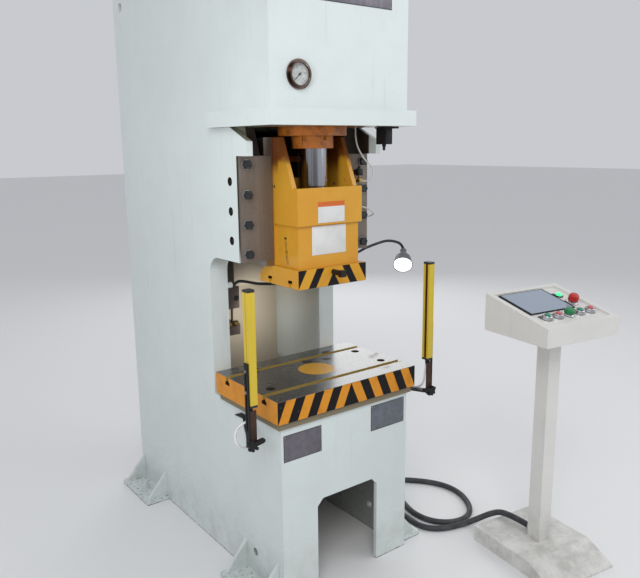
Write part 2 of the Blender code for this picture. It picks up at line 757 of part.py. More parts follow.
def make_frame(paint):
    """The welded body: side plates, front sheets, head and rear cover."""
    make_side_plate("side_plate_left", -1, paint)
    make_side_plate("side_plate_right", 1, paint)
    half_door = DOOR_WIDTH / 2
    apron = [
        (-HALF_FRAME, 0.0),
        (-half_door, 0.0),
        (-half_door, DOOR_HEIGHT - DOOR_CHAMFER),
        (-half_door + DOOR_CHAMFER, DOOR_HEIGHT),
        (half_door - DOOR_CHAMFER, DOOR_HEIGHT),
        (half_door, DOOR_HEIGHT - DOOR_CHAMFER),
        (half_door, 0.0),
        (HALF_FRAME, 0.0),
        (HALF_FRAME, BASE_HEIGHT),
        (-HALF_FRAME, BASE_HEIGHT),
    ]
    piece("apron_plate", prism(apron, "Y", 0.0, FRONT_THICKNESS), paint)
    head_back = HEAD_SETBACK + FRONT_THICKNESS
    roof_bottom = FRAME_HEIGHT - HEAD_TOP_THICKNESS
    head = [
        (HEAD_SETBACK, CYLINDER_PLATE_TOP + GAP),
        (head_back, CYLINDER_PLATE_TOP + GAP),
        (head_back, roof_bottom),
        (FRAME_DEPTH, roof_bottom),
        (FRAME_DEPTH, FRAME_HEIGHT),
        (HEAD_SETBACK, FRAME_HEIGHT),
    ]
    shell = piece("head_shell", prism(head, "X", -HALF_FRAME, HALF_FRAME), paint)
    gauge_hole = rod(
        (GAUGE_X, 0.0, GAUGE_Z),
        GAUGE_DIAL_RADIUS + GAUGE_RIM_THICKNESS + GAP,
        HEAD_SETBACK - WELD_OVERLAP,
        head_back + WELD_OVERLAP,
        "Y",
        FINE_SIDES,
    )
    cut(shell, [gauge_hole])
    half_shelf = CYLINDER_PLATE_WIDTH / 2
    low = (-half_shelf, CYLINDER_PLATE_FRONT, CYLINDER_PLATE_BOTTOM)
    high = (half_shelf, CYLINDER_PLATE_BACK, CYLINDER_PLATE_TOP)
    shelf = piece("cylinder_plate", block(low, high), paint)
    bore = rod(
        (0.0, RAM_Y, 0.0),
        CYLINDER_RADIUS + GAP,
        CYLINDER_PLATE_BOTTOM - WELD_OVERLAP,
        CYLINDER_PLATE_TOP + WELD_OVERLAP,
        "Z",
        FINE_SIDES,
    )
    cut(shelf, [bore])
    make_rear_cover(paint)


def make_rear_cover(paint):
    """Folded sheet between the side plates at the back, with ventilation slots."""
    inner = PLATE_INNER_X - GAP
    cover_top = FRAME_HEIGHT - COVER_TOP_MARGIN
    tray = [
        (-inner, FRAME_DEPTH),
        (-inner, COVER_FRONT),
        (inner, COVER_FRONT),
        (inner, FRAME_DEPTH),
        (inner - COVER_THICKNESS, FRAME_DEPTH),
        (inner - COVER_THICKNESS, COVER_FRONT + COVER_THICKNESS),
        (-inner + COVER_THICKNESS, COVER_FRONT + COVER_THICKNESS),
        (-inner + COVER_THICKNESS, FRAME_DEPTH),
    ]
    cover = piece("rear_cover", prism(tray, "Z", COVER_BOTTOM, cover_top), paint)
    slots = []
    for index in range(COVER_SLOT_COUNT):
        middle = COVER_SLOT_LOW + COVER_SLOT_PITCH * index
        half_length = COVER_SLOT_LENGTH / 2
        half_height = COVER_SLOT_HEIGHT / 2
        outline = [
            *arc(half_length, middle, half_height, -90.0, 90.0, 4),
            *arc(-half_length, middle, half_height, 90.0, 270.0, 4),
        ]
        through = (COVER_FRONT - WELD_OVERLAP, COVER_FRONT + COVER_THICKNESS + WELD_OVERLAP)
        slots.append(prism(outline, "Y", *through))
    cut(cover, slots)


def make_foot(name, side, start, length, finish):
    """A foot plate with two gussets and its anchor bolt, as one weldment."""
    inner = HALF_FRAME + GAP
    outer = HALF_FRAME + FOOT_REACH
    end = start + length
    plate = block((side * inner, start, 0.0), (side * outer, end, FOOT_THICKNESS))
    foot = piece(name, plate, finish)
    gusset = [
        (side * inner, FOOT_THICKNESS - WELD_OVERLAP),
        (side * (outer - GUSSET_INSET), FOOT_THICKNESS - WELD_OVERLAP),
        (side * (outer - GUSSET_INSET), FOOT_THICKNESS + WELD_OVERLAP),
        (side * inner, GUSSET_TOP),
    ]
    weld(foot, prism(gusset, "Y", start + GUSSET_INSET, start + GUSSET_INSET + GUSSET_THICKNESS))
    weld(foot, prism(gusset, "Y", end - GUSSET_INSET - GUSSET_THICKNESS, end - GUSSET_INSET))
    top = FOOT_THICKNESS
    bolt = [
        (0.0, top - WELD_OVERLAP),
        (ANCHOR_WASHER_RADIUS, top - WELD_OVERLAP),
        (ANCHOR_WASHER_RADIUS, top + ANCHOR_WASHER_THICKNESS),
        (ANCHOR_NUT_RADIUS, top + ANCHOR_WASHER_THICKNESS),
        (ANCHOR_NUT_RADIUS, top + ANCHOR_WASHER_THICKNESS + ANCHOR_NUT_HEIGHT),
        (ANCHOR_RADIUS, top + ANCHOR_WASHER_THICKNESS + ANCHOR_NUT_HEIGHT),
        (ANCHOR_RADIUS, top + ANCHOR_HEIGHT),
        (0.0, top + ANCHOR_HEIGHT),
    ]
    centre = (side * (HALF_FRAME + FOOT_REACH / 2), start + length / 2, 0.0)
    weld(foot, turned(bolt, centre, "Z", HOLE_SIDES))


def make_feet(paint):
    """The four feet that the column stands on."""
    rear_start = FRAME_DEPTH - REAR_FOOT_LENGTH
    make_foot("foot_front_left", -1, FRONT_FOOT_START, FRONT_FOOT_LENGTH, paint)
    make_foot("foot_front_right", 1, FRONT_FOOT_START, FRONT_FOOT_LENGTH, paint)
    make_foot("foot_rear_left", -1, rear_start, REAR_FOOT_LENGTH, paint)
    make_foot("foot_rear_right", 1, rear_start, REAR_FOOT_LENGTH, paint)


def slot_outline(middle, open_edge, inward, width, neck, head_width, head_height):
    """Outline of a T-slot in (y, z), which opens at one height and runs inwards from it."""
    outside = open_edge - inward * WELD_OVERLAP
    neck_end = open_edge + inward * neck
    head_end = neck_end + inward * head_height
    return [
        (middle - width / 2, outside),
        (middle + width / 2, outside),
        (middle + width / 2, neck_end),
        (middle + head_width / 2, neck_end),
        (middle + head_width / 2, head_end),
        (middle - head_width / 2, head_end),
        (middle - head_width / 2, neck_end),
        (middle - width / 2, neck_end),
    ]


def make_bolster(steel, paint, yellow):
    """Bed plate, T-slotted bolster and the plug in its drop hole."""
    half = BOLSTER_WIDTH / 2
    inset = BED_PLATE_INSET
    bed_bottom = BASE_HEIGHT + GAP
    bed_low = (-half + inset, BOLSTER_FRONT + inset, bed_bottom)
    bed_high = (half - inset, BOLSTER_BACK - inset, bed_bottom + BED_PLATE_THICKNESS)
    bed = piece("bed_plate", block(bed_low, bed_high), paint)
    drop = (bed_bottom - WELD_OVERLAP, bed_bottom + BED_PLATE_THICKNESS + WELD_OVERLAP)
    cut(bed, [rod((0.0, BOLSTER_Y, 0.0), DROP_HOLE_RADIUS, *drop, "Z", ROUND_SIDES)])
    low = (-half, BOLSTER_FRONT, BOLSTER_BOTTOM)
    high = (half, BOLSTER_BACK, BOLSTER_TOP)
    bolster = piece("bolster", block(low, high), steel)
    cutters = []
    for side in (-1, 1):
        middle = BOLSTER_Y + side * BOLSTER_SLOT_SPACING / 2
        outline = slot_outline(
            middle,
            BOLSTER_TOP,
            -1,
            BOLSTER_SLOT_WIDTH,
            BOLSTER_SLOT_NECK,
            BOLSTER_SLOT_HEAD_WIDTH,
            BOLSTER_SLOT_HEAD_HEIGHT,
        )
        cutters.append(prism(outline, "X", -half - WELD_OVERLAP, half + WELD_OVERLAP))
    plug_seat = BOLSTER_TOP - PLUG_THICKNESS
    stepped = [
        (0.0, BOLSTER_BOTTOM - WELD_OVERLAP),
        (DROP_HOLE_RADIUS, BOLSTER_BOTTOM - WELD_OVERLAP),
        (DROP_HOLE_RADIUS, plug_seat - GAP),
        (PLUG_RADIUS + GAP, plug_seat - GAP),
        (PLUG_RADIUS + GAP, BOLSTER_TOP + WELD_OVERLAP),
        (0.0, BOLSTER_TOP + WELD_OVERLAP),
    ]
    cutters.append(turned(stepped, (0.0, BOLSTER_Y, 0.0), "Z", FINE_SIDES))
    floor = BOLSTER_TOP - BOLSTER_COUNTERBORE_DEPTH
    head_top = floor + BOLSTER_BOLT_HEAD_HEIGHT
    socket_floor = head_top - BOLSTER_BOLT_SOCKET_DEPTH
    # A ring-shaped cut leaves the cap screw's head standing on the counterbore's floor
    counterbore = [
        (BOLSTER_BOLT_RADIUS, floor),
        (BOLSTER_COUNTERBORE_RADIUS, floor),
        (BOLSTER_COUNTERBORE_RADIUS, BOLSTER_TOP + WELD_OVERLAP),
        (0.0, BOLSTER_TOP + WELD_OVERLAP),
        (0.0, socket_floor),
        (BOLSTER_BOLT_SOCKET_RADIUS, socket_floor),
        (BOLSTER_BOLT_SOCKET_RADIUS, head_top),
        (BOLSTER_BOLT_RADIUS, head_top),
    ]
    for side_x in (-1, 1):
        for side_y in (-1, 1):
            x = side_x * BOLSTER_BOLT_SPACING_X / 2
            y = BOLSTER_Y + side_y * BOLSTER_BOLT_SPACING_Y / 2
            cutters.append(turned(counterbore, (x, y, 0.0), "Z", HOLE_SIDES))
    cut(bolster, cutters)
    plug = rod((0.0, BOLSTER_Y, 0.0), PLUG_RADIUS, plug_seat, BOLSTER_TOP, "Z", FINE_SIDES)
    piece("bolster_plug", plug, yellow)


def make_cylinder(iron, orange, chrome):
    """Cylinder, its lock ring and gland, and the ram's rod with its piston."""
    centre = (0.0, RAM_Y, 0.0)
    ring_top = CYLINDER_PLATE_BOTTOM - GAP
    ring_bottom = ring_top - LOCK_RING_HEIGHT
    gland_top = ring_bottom - GAP
    gland_bottom = gland_top - GLAND_HEIGHT
    shoulder_bottom = CYLINDER_PLATE_TOP + GAP
    shoulder_top = shoulder_bottom + CYLINDER_SHOULDER_HEIGHT
    bore_bottom = shoulder_bottom
    throat = ROD_RADIUS + RUNNING_GAP
    bore_top = CYLINDER_TOP - CYLINDER_END_THICKNESS
    barrel = [
        (throat, ring_bottom),
        (CYLINDER_RADIUS, ring_bottom),
        (CYLINDER_RADIUS, shoulder_bottom),
        (CYLINDER_SHOULDER_RADIUS, shoulder_bottom),
        (CYLINDER_SHOULDER_RADIUS, shoulder_top),
        (CYLINDER_RADIUS, shoulder_top),
        (CYLINDER_RADIUS, CYLINDER_TOP),
        (0.0, CYLINDER_TOP),
        (0.0, bore_top),
        (CYLINDER_BORE_RADIUS, bore_top),
        (CYLINDER_BORE_RADIUS, bore_bottom),
        (throat, bore_bottom),
    ]
    piece("cylinder_barrel", turned(barrel, centre, "Z", FINE_SIDES), iron)
    bevel = 0.002
    ring = [
        (CYLINDER_RADIUS + GAP, ring_bottom),
        (LOCK_RING_RADIUS - bevel, ring_bottom),
        (LOCK_RING_RADIUS, ring_bottom + bevel),
        (LOCK_RING_RADIUS, ring_top),
        (CYLINDER_RADIUS + GAP, ring_top),
    ]
    piece("lock_ring", turned(ring, centre, "Z", FINE_SIDES), orange)
    gland_profile = [
        (throat, gland_bottom),
        (GLAND_RADIUS - bevel, gland_bottom),
        (GLAND_RADIUS, gland_bottom + bevel),
        (GLAND_RADIUS, gland_top),
        (throat, gland_top),
    ]
    gland = piece("gland_ring", turned(gland_profile, centre, "Z", FINE_SIDES), orange)
    notches = []
    for index in range(GLAND_NOTCH_COUNT):
        angle = math.tau * (index + 0.5) / GLAND_NOTCH_COUNT
        half = GLAND_NOTCH_WIDTH / 2
        low = (GLAND_RADIUS - GLAND_NOTCH_DEPTH, -half, gland_top - GLAND_NOTCH_WIDTH)
        high = (GLAND_RADIUS + GLAND_NOTCH_DEPTH, half, gland_top + WELD_OVERLAP)
        turn = Matrix.Translation(centre) @ Matrix.Rotation(angle, 4, "Z")
        notches.append(placed(block(low, high), turn))
    cut(gland, notches)
    piston_top = bore_top - PISTON_TOP_CLEARANCE
    piston_bottom = piston_top - PISTON_HEIGHT
    foot = SLIDE_BAND_BOTTOM + GAP
    ram = [
        (0.0, foot),
        (ROD_RADIUS, foot),
        (ROD_RADIUS, piston_bottom),
        (PISTON_RADIUS, piston_bottom),
        (PISTON_RADIUS, piston_top),
        (0.0, piston_top),
    ]
    piece("piston_rod", turned(ram, centre, "Z", FINE_SIDES), chrome, centre)


def wing_outline():
    """Outline of the slide's side wing in (y, z), with its sloping front edge."""
    foot = SLIDE_BAND_BOTTOM - WELD_OVERLAP
    return [
        (SLIDE_BAND_FRONT, foot),
        (SLIDE_BACK, foot),
        (SLIDE_BACK, SLIDE_WING_TOP),
        (SLIDE_WING_SLOPE_BACK, SLIDE_WING_TOP),
        (SLIDE_WING_SLOPE_FRONT, SLIDE_BAND_TOP),
        (SLIDE_BAND_FRONT, SLIDE_BAND_TOP),
    ]


def make_slide(yellow, dark):
    """The winged slide that the ram drives, its T-slotted plate and the shank's clamp bolt."""
    pivot = (0.0, RAM_Y, 0.0)
    half_block = SLIDE_BLOCK_WIDTH / 2
    half_band = SLIDE_BAND_WIDTH / 2
    low = (-half_block, SLIDE_BLOCK_FRONT, SLIDE_BLOCK_BOTTOM)
    high = (half_block, SLIDE_BACK, SLIDE_BAND_BOTTOM)
    body = piece("slide_body", block(low, high), yellow, pivot)
    band_low = (-half_band, SLIDE_BAND_FRONT, SLIDE_BAND_BOTTOM - WELD_OVERLAP)
    band_high = (half_band, SLIDE_BAND_FRONT + SLIDE_BAND_WALL, SLIDE_BAND_TOP)
    weld(body, block(band_low, band_high))
    for side in (-1, 1):
        wing_outer = side * half_band
        wing_inner = side * (half_band - SLIDE_WING_THICKNESS)
        weld(body, prism(wing_outline(), "X", wing_outer, wing_inner))
        tongue_low = (side * (half_block - WELD_OVERLAP), TONGUE_FRONT, SLIDE_BLOCK_BOTTOM)
        tongue_high = (side * TONGUE_OUTER_X, TONGUE_BACK, SLIDE_WING_TOP)
        weld(body, block(tongue_low, tongue_high))
    inner = half_band - SLIDE_WING_THICKNESS / 2
    back_low = (-inner, SLIDE_BACK - SLIDE_BAND_WALL, SLIDE_BAND_BOTTOM - WELD_OVERLAP)
    weld(body, block(back_low, (inner, SLIDE_BACK, SLIDE_BACK_PLATE_TOP)))
    bridge_low = (-inner, SLIDE_BRIDGE_FRONT, SLIDE_BRIDGE_BOTTOM)
    bridge_high = (inner, SLIDE_BACK, SLIDE_BRIDGE_BOTTOM + SLIDE_BRIDGE_THICKNESS)
    weld(body, block(bridge_low, bridge_high))
    reach = half_band + WELD_OVERLAP
    opening = half_band - SLIDE_WING_THICKNESS - WELD_OVERLAP
    cut(body, [rod((0.0, WING_HOLE_Y, WING_HOLE_Z), WING_HOLE_RADIUS, opening, reach, "X", HOLE_SIDES)])
    make_slide_plate(yellow, pivot)
    bolt_z = SLIDE_PLATE_BOTTOM + SHANK_BOLT_HEIGHT
    tip = RAM_Y - SHANK_RADIUS
    head_front = SLIDE_PLATE_FRONT - SHANK_BOLT_STANDOUT
    bolt = rod((0.0, 0.0, bolt_z), SHANK_BOLT_RADIUS, head_front + WELD_OVERLAP, tip, "Y")
    screw = piece("shank_bolt", bolt, dark, (0.0, RAM_Y, bolt_z))
    half_head = SHANK_BOLT_HEAD_WIDTH / 2
    head_low = (-half_head, head_front, bolt_z - half_head)
    head_high = (half_head, head_front + SHANK_BOLT_HEAD_LENGTH, bolt_z + half_head)
    weld(screw, block(head_low, head_high))


def make_slide_plate(yellow, pivot):
    """The plate under the slide, with two T-slots, a shank bore and the clamp bolt's hole."""
    half = SLIDE_PLATE_WIDTH / 2
    outline = [
        (SLIDE_PLATE_FRONT, SLIDE_PLATE_BOTTOM),
        (SLIDE_BACK, SLIDE_PLATE_BOTTOM),
        (SLIDE_BACK, SLIDE_PLATE_TOP - SLIDE_PLATE_REAR_SLOPE),
        (SLIDE_BACK - SLIDE_PLATE_REAR_SLOPE, SLIDE_PLATE_TOP),
        (SLIDE_PLATE_FRONT, SLIDE_PLATE_TOP),
    ]
    plate = piece("slide_plate", prism(outline, "X", -half, half), yellow, pivot)
    cutters = []
    for side in (-1, 1):
        slot = slot_outline(
            RAM_Y + side * SLIDE_SLOT_SPACING / 2,
            SLIDE_PLATE_BOTTOM,
            1,
            SLIDE_SLOT_WIDTH,
            SLIDE_SLOT_NECK,
            SLIDE_SLOT_HEAD_WIDTH,
            SLIDE_SLOT_HEAD_HEIGHT,
        )
        cutters.append(prism(slot, "X", -half - WELD_OVERLAP, half + WELD_OVERLAP))
    below = SLIDE_PLATE_BOTTOM - WELD_OVERLAP
    above = SLIDE_PLATE_TOP + WELD_OVERLAP
    cutters.append(rod((0.0, RAM_Y, 0.0), SHANK_RADIUS, below, above, "Z", ROUND_SIDES))
    cut(plate, cutters)
    bolt_z = SLIDE_PLATE_BOTTOM + SHANK_BOLT_HEIGHT
    hole = (SLIDE_PLATE_FRONT - WELD_OVERLAP, RAM_Y)
    cut(plate, [rod((0.0, 0.0, bolt_z), SHANK_BOLT_RADIUS + GAP, *hole, "Y")])


def make_gibs(steel, dark):
    """Front gib plates with their bolts, and side gibs with their adjusting screws."""
    for name, side in (("left", -1), ("right", 1)):
        low = (side * GIB_INNER_X, GIB_FRONT, GIB_BOTTOM)
        high = (side * GIB_OUTER_X, GIB_FRONT + GIB_THICKNESS, GIB_TOP)
        gib = piece("gib_front_" + name, block(low, high), steel)
        heads = []
        for height in gib_bolt_heights():
            centre = (side * GIB_BOLT_X, 0.0, height)
            washer_front = GIB_FRONT - GIB_WASHER_THICKNESS
            washer = (washer_front, GIB_FRONT + WELD_OVERLAP)
            head = (washer_front - GIB_BOLT_HEAD_HEIGHT, washer_front + WELD_OVERLAP)
            weld(gib, rod(centre, GIB_WASHER_RADIUS, *washer, "Y", WASHER_SIDES))
            heads.append(hexagon(centre, GIB_BOLT_ACROSS_FLATS, *head, "Y"))
        weld(gib, gathered(heads))
        make_side_gib("gib_side_" + name, side, dark)


def make_side_gib(name, side, finish):
    """L-shaped strip beside and behind the slide's tongue, pushed by three screws."""
    near = side * (TONGUE_OUTER_X + GAP)
    far = side * (CHEEK_INNER_X - GAP)
    inner = side * SIDE_GIB_INNER_X
    leg_front = TONGUE_BACK + GAP
    outline = [
        (near, TONGUE_FRONT),
        (far, TONGUE_FRONT),
        (far, leg_front + SIDE_GIB_LEG_THICKNESS),
        (inner, leg_front + SIDE_GIB_LEG_THICKNESS),
        (inner, leg_front),
        (near, leg_front),
    ]
    strip = piece(name, prism(outline, "Z", GIB_BOTTOM, GIB_TOP), finish)
    screws = []
    for height in adjuster_heights():
        start = side * (CHEEK_INNER_X - WELD_OVERLAP)
        end = side * (HALF_FRAME - ADJUSTER_INSET)
        screws.append(rod((0.0, ADJUSTER_Y, height), ADJUSTER_RADIUS, start, end, "X", HOLE_SIDES))
    weld(strip, gathered(screws))


def make_hydraulics(beige, grey, brown):
    """Tank, motor with pump, valve block and pipes, inside the column."""
    right = PLATE_INNER_X - GAP
    low = (TANK_LEFT, TANK_FRONT, TANK_BOTTOM)
    high = (right, TANK_BACK, TANK_BOTTOM + TANK_HEIGHT)
    tank = piece("oil_tank", block(low, high), beige)
    stand_front = TANK_FRONT + TANK_STAND_SETBACK
    stand_low = (TANK_LEFT, stand_front, TANK_STAND_BOTTOM)
    weld(tank, block(stand_low, (right, stand_front + TANK_STAND_THICKNESS, TANK_BOTTOM + WELD_OVERLAP)))
    axis_z = MOTOR_RADIUS + MOTOR_FOOT_HEIGHT
    pump_front = MOTOR_Y - PUMP_LENGTH
    motor_profile = [
        (0.0, pump_front),
        (PUMP_RADIUS, pump_front),
        (PUMP_RADIUS, MOTOR_Y),
        (MOTOR_RADIUS, MOTOR_Y),
        (MOTOR_RADIUS, MOTOR_Y + MOTOR_LENGTH),
        (0.0, MOTOR_Y + MOTOR_LENGTH),
    ]
    motor = piece("pump_motor", turned(motor_profile, (MOTOR_X, 0.0, axis_z), "Y", ROUND_SIDES), grey)
    foot_low = (MOTOR_X - MOTOR_RADIUS, MOTOR_Y + MOTOR_FOOT_HEIGHT, 0.0)
    foot_high = (MOTOR_X + MOTOR_RADIUS, MOTOR_Y + MOTOR_LENGTH - MOTOR_FOOT_HEIGHT, axis_z)
    weld(motor, block(foot_low, foot_high))
    make_manifold(grey)
    make_pipes(brown, axis_z)


def manifold_middle():
    """Centre of the valve block, in X and Y."""
    left = -PLATE_INNER_X + MANIFOLD_LEFT_GAP
    return left + MANIFOLD_WIDTH / 2, MANIFOLD_FRONT + MANIFOLD_DEPTH / 2


def make_manifold(grey):
    """Valve block on its bracket, with tie pins down to the lower block."""
    left = -PLATE_INNER_X + MANIFOLD_LEFT_GAP
    right = left + MANIFOLD_WIDTH
    back = MANIFOLD_FRONT + MANIFOLD_DEPTH
    bottom = MANIFOLD_TOP - MANIFOLD_HEIGHT
    foot_top = bottom - MANIFOLD_PIN_LENGTH
    top_block = block((left, MANIFOLD_FRONT, bottom), (right, back, MANIFOLD_TOP))
    valve = piece("valve_manifold", top_block, grey)
    foot_low = (left, MANIFOLD_FRONT, foot_top - MANIFOLD_FOOT_HEIGHT)
    weld(valve, block(foot_low, (right, back, foot_top)))
    pins = []
    for x in (left + MANIFOLD_PIN_INSET, (left + right) / 2, right - MANIFOLD_PIN_INSET):
        for y in (MANIFOLD_FRONT + MANIFOLD_PIN_INSET, back - MANIFOLD_PIN_INSET):
            centre = (x, y, 0.0)
            span = (foot_top - WELD_OVERLAP, bottom + WELD_OVERLAP)
            pins.append(rod(centre, MANIFOLD_PIN_RADIUS, *span, "Z", HOLE_SIDES))
    weld(valve, gathered(pins))
    bracket_low = (-PLATE_INNER_X + GAP, back - FLANGE_THICKNESS, foot_top - MANIFOLD_FOOT_HEIGHT)
    weld(valve, block(bracket_low, (left + WELD_OVERLAP, back, MANIFOLD_TOP)))
    port_z = MANIFOLD_TOP - MANIFOLD_HEIGHT / 2
    port = (MANIFOLD_FRONT - WELD_OVERLAP, MANIFOLD_FRONT + MANIFOLD_DEPTH / 2)
    cut(valve, [rod((manifold_middle()[0], 0.0, port_z), MANIFOLD_PORT_RADIUS, *port, "Y", HOLE_SIDES)])


def make_pipes(brown, pump_z):
    """Pressure pipe from the pump to the valve block, and on to the cylinder's top."""
    x, y = manifold_middle()
    bottom = MANIFOLD_TOP - MANIFOLD_HEIGHT - MANIFOLD_PIN_LENGTH - MANIFOLD_FOOT_HEIGHT - GAP
    bend = PIPE_BEND_RADIUS
    pump_y = MOTOR_Y - PUMP_LENGTH / 2
    pump_left = MOTOR_X - PUMP_RADIUS - GAP
    supply = [
        (x, y, bottom),
        (x, y, bottom - bend),
        (x, y, (bottom + pump_z) / 2),
        (x, y, pump_z + 2 * bend),
        (x + 0.25 * bend, y + 0.25 * (pump_y - y), pump_z + 0.5 * bend),
        (x + bend, y + 0.7 * (pump_y - y), pump_z),
        (pump_left - bend / 2, pump_y, pump_z),
        (pump_left, pump_y, pump_z),
    ]
    tube("supply_pipe", supply, SUPPLY_PIPE_RADIUS, brown, 20)
    port_z = CYLINDER_TOP - 0.5 * CYLINDER_END_THICKNESS
    port_y = RAM_Y + CYLINDER_RADIUS + GAP
    delivery = [
        (x, y, MANIFOLD_TOP + GAP),
        (x, y, MANIFOLD_TOP + bend),
        (x, y, (MANIFOLD_TOP + port_z) / 2),
        (x, y, port_z - 2 * bend),
        (0.9 * x, y - 0.5 * bend, port_z - 0.3 * bend),
        (0.5 * x, (y + port_y) / 2, port_z),
        (0.0, port_y + bend, port_z),
        (0.0, port_y, port_z),
    ]
    tube("delivery_pipe", delivery, SUPPLY_PIPE_RADIUS, brown, 26)


def make_gauge(chrome, dark, glass):
    """Flange-mounted pressure gauge with its own moving needle."""
    centre = (GAUGE_X, 0.0, GAUGE_Z)
    front = HEAD_SETBACK - GAP - GAUGE_STANDOUT
    dial_y = front + GAUGE_DIAL_DEPTH
    wall = GAUGE_DIAL_RADIUS + GAUGE_RIM_THICKNESS
    bezel = [
        (0.0, dial_y),
        (GAUGE_DIAL_RADIUS, dial_y),
        (GAUGE_DIAL_RADIUS, front),
        (wall, front),
        (wall, HEAD_SETBACK - GAP - GAUGE_RIM_THICKNESS),
        (GAUGE_RADIUS, HEAD_SETBACK - GAP - GAUGE_RIM_THICKNESS),
        (GAUGE_RADIUS, HEAD_SETBACK - GAP),
        (wall, HEAD_SETBACK - GAP),
        (wall, front + GAUGE_BODY_DEPTH),
        (0.0, front + GAUGE_BODY_DEPTH),
    ]
    piece("gauge_case", turned(bezel, centre, "Y", FINE_SIDES), chrome)
    needle_back = dial_y - GAP
    needle_front = needle_back - NEEDLE_THICKNESS
    pointer = [
        (-NEEDLE_WIDTH / 2, -NEEDLE_TAIL),
        (NEEDLE_WIDTH / 2, -NEEDLE_TAIL),
        (NEEDLE_WIDTH / 6, NEEDLE_LENGTH),
        (-NEEDLE_WIDTH / 6, NEEDLE_LENGTH),
    ]
    turn = Matrix.Translation(centre) @ Matrix.Rotation(math.radians(NEEDLE_REST_DEGREES), 4, "Y")
    shape = placed(prism(pointer, "Y", needle_front, needle_back), turn)
    needle = piece("gauge_needle", shape, dark, (GAUGE_X, needle_back, GAUGE_Z))
    hub = (needle_front - NEEDLE_THICKNESS, needle_back)
    weld(needle, rod(centre, NEEDLE_HUB_RADIUS, *hub, "Y", HOLE_SIDES))
    lens = (front, front + GLASS_THICKNESS)
    piece("gauge_glass", rod(centre, GAUGE_DIAL_RADIUS - GAP, *lens, "Y", FINE_SIDES), glass)


def make_curtain(name, side, yellow, black, brown):
    """One light curtain: post, slotted bar, arm on the frame and star knob."""
    half_width = CURTAIN_WIDTH / 2
    half_depth = CURTAIN_DEPTH / 2
    window = CURTAIN_WINDOW_WIDTH / 2
    inner = -side * half_width
    outer = side * half_width
    groove = CURTAIN_GROOVE_WIDTH / 2
    section = [
        (inner, -half_depth),
        (inner, -window),
        (inner + side * CURTAIN_WINDOW_DEPTH, -window),
        (inner + side * CURTAIN_WINDOW_DEPTH, window),
        (inner, window),
        (inner, half_depth),
        (outer, half_depth),
        (outer, groove),
        (outer - side * CURTAIN_GROOVE_DEPTH, groove),
        (outer - side * CURTAIN_GROOVE_DEPTH, -groove),
        (outer, -groove),
        (outer, -half_depth),
    ]
    centre = Matrix.Translation((side * CURTAIN_X, CURTAIN_Y, 0.0))
    bottom = CURTAIN_BOTTOM + CURTAIN_CAP_HEIGHT
    top = CURTAIN_BOTTOM + CURTAIN_HEIGHT - CURTAIN_CAP_HEIGHT
    post = piece("curtain_post_" + name, placed(prism(section, "Z", bottom, top), centre), yellow)
    for low, high in ((CURTAIN_BOTTOM, bottom + GAP), (top - GAP, CURTAIN_BOTTOM + CURTAIN_HEIGHT)):
        cap = block((-half_width, -half_depth, low), (half_width, half_depth, high))
        weld(post, placed(cap, centre))
    bar_near = side * (CURTAIN_X + half_width + GAP)
    bar_far = bar_near + side * BAR_THICKNESS
    half_bar = BAR_WIDTH / 2
    low = (bar_near, CURTAIN_Y - half_bar, BAR_BOTTOM)
    high = (bar_far, CURTAIN_Y + half_bar, BAR_TOP)
    bar = piece("curtain_bar_" + name, block(low, high), black)
    half_slot = BAR_SLOT_WIDTH / 2
    slot = [
        *arc(CURTAIN_Y, BAR_SLOT_TOP - half_slot, half_slot, 0.0, 180.0, 6),
        *arc(CURTAIN_Y, BAR_SLOT_BOTTOM + half_slot, half_slot, 180.0, 360.0, 6),
    ]
    cut(bar, [prism(slot, "X", bar_near - side * WELD_OVERLAP, bar_far + side * WELD_OVERLAP)])
    arm_front = CURTAIN_Y + half_bar + GAP
    arm_back = arm_front + ARM_THICKNESS
    wall = side * (HALF_FRAME + GAP)
    foot = wall + side * ARM_THICKNESS
    arm = [
        (wall, arm_front),
        (bar_far, arm_front),
        (bar_far, arm_back),
        (foot, arm_back),
        (foot, arm_front + ARM_FOOT_LENGTH),
        (wall, arm_front + ARM_FOOT_LENGTH),
    ]
    arm_low = BAR_BOTTOM
    piece("curtain_arm_" + name, prism(arm, "Z", arm_low, arm_low + ARM_HEIGHT), brown)
    make_star_knob("curtain_knob_" + name, side, bar_near, bar_far, black)


def make_star_knob(name, side, bar_near, bar_far, black):
    """Three-lobed knob at the foot of a light curtain's bar, on its joint's axis."""
    x = (bar_near + bar_far) / 2
    z = BAR_BOTTOM + ARM_HEIGHT / 2
    face = CURTAIN_Y - BAR_WIDTH / 2 - GAP
    front = face - KNOB_THICKNESS
    centre = (x, 0.0, z)
    knob = piece(name, rod(centre, KNOB_HUB_RADIUS, front, face, "Y"), black, (x, face, z))
    lobes = []
    for index in range(KNOB_LOBES):
        angle = math.tau * index / KNOB_LOBES + math.pi / 2
        lobe_x = x + KNOB_RADIUS * math.cos(angle) * 0.75
        lobe_z = z + KNOB_RADIUS * math.sin(angle) * 0.75
        lobes.append(rod((lobe_x, 0.0, lobe_z), KNOB_LOBE_RADIUS, front, face, "Y", HOLE_SIDES))
    weld(knob, gathered(lobes))


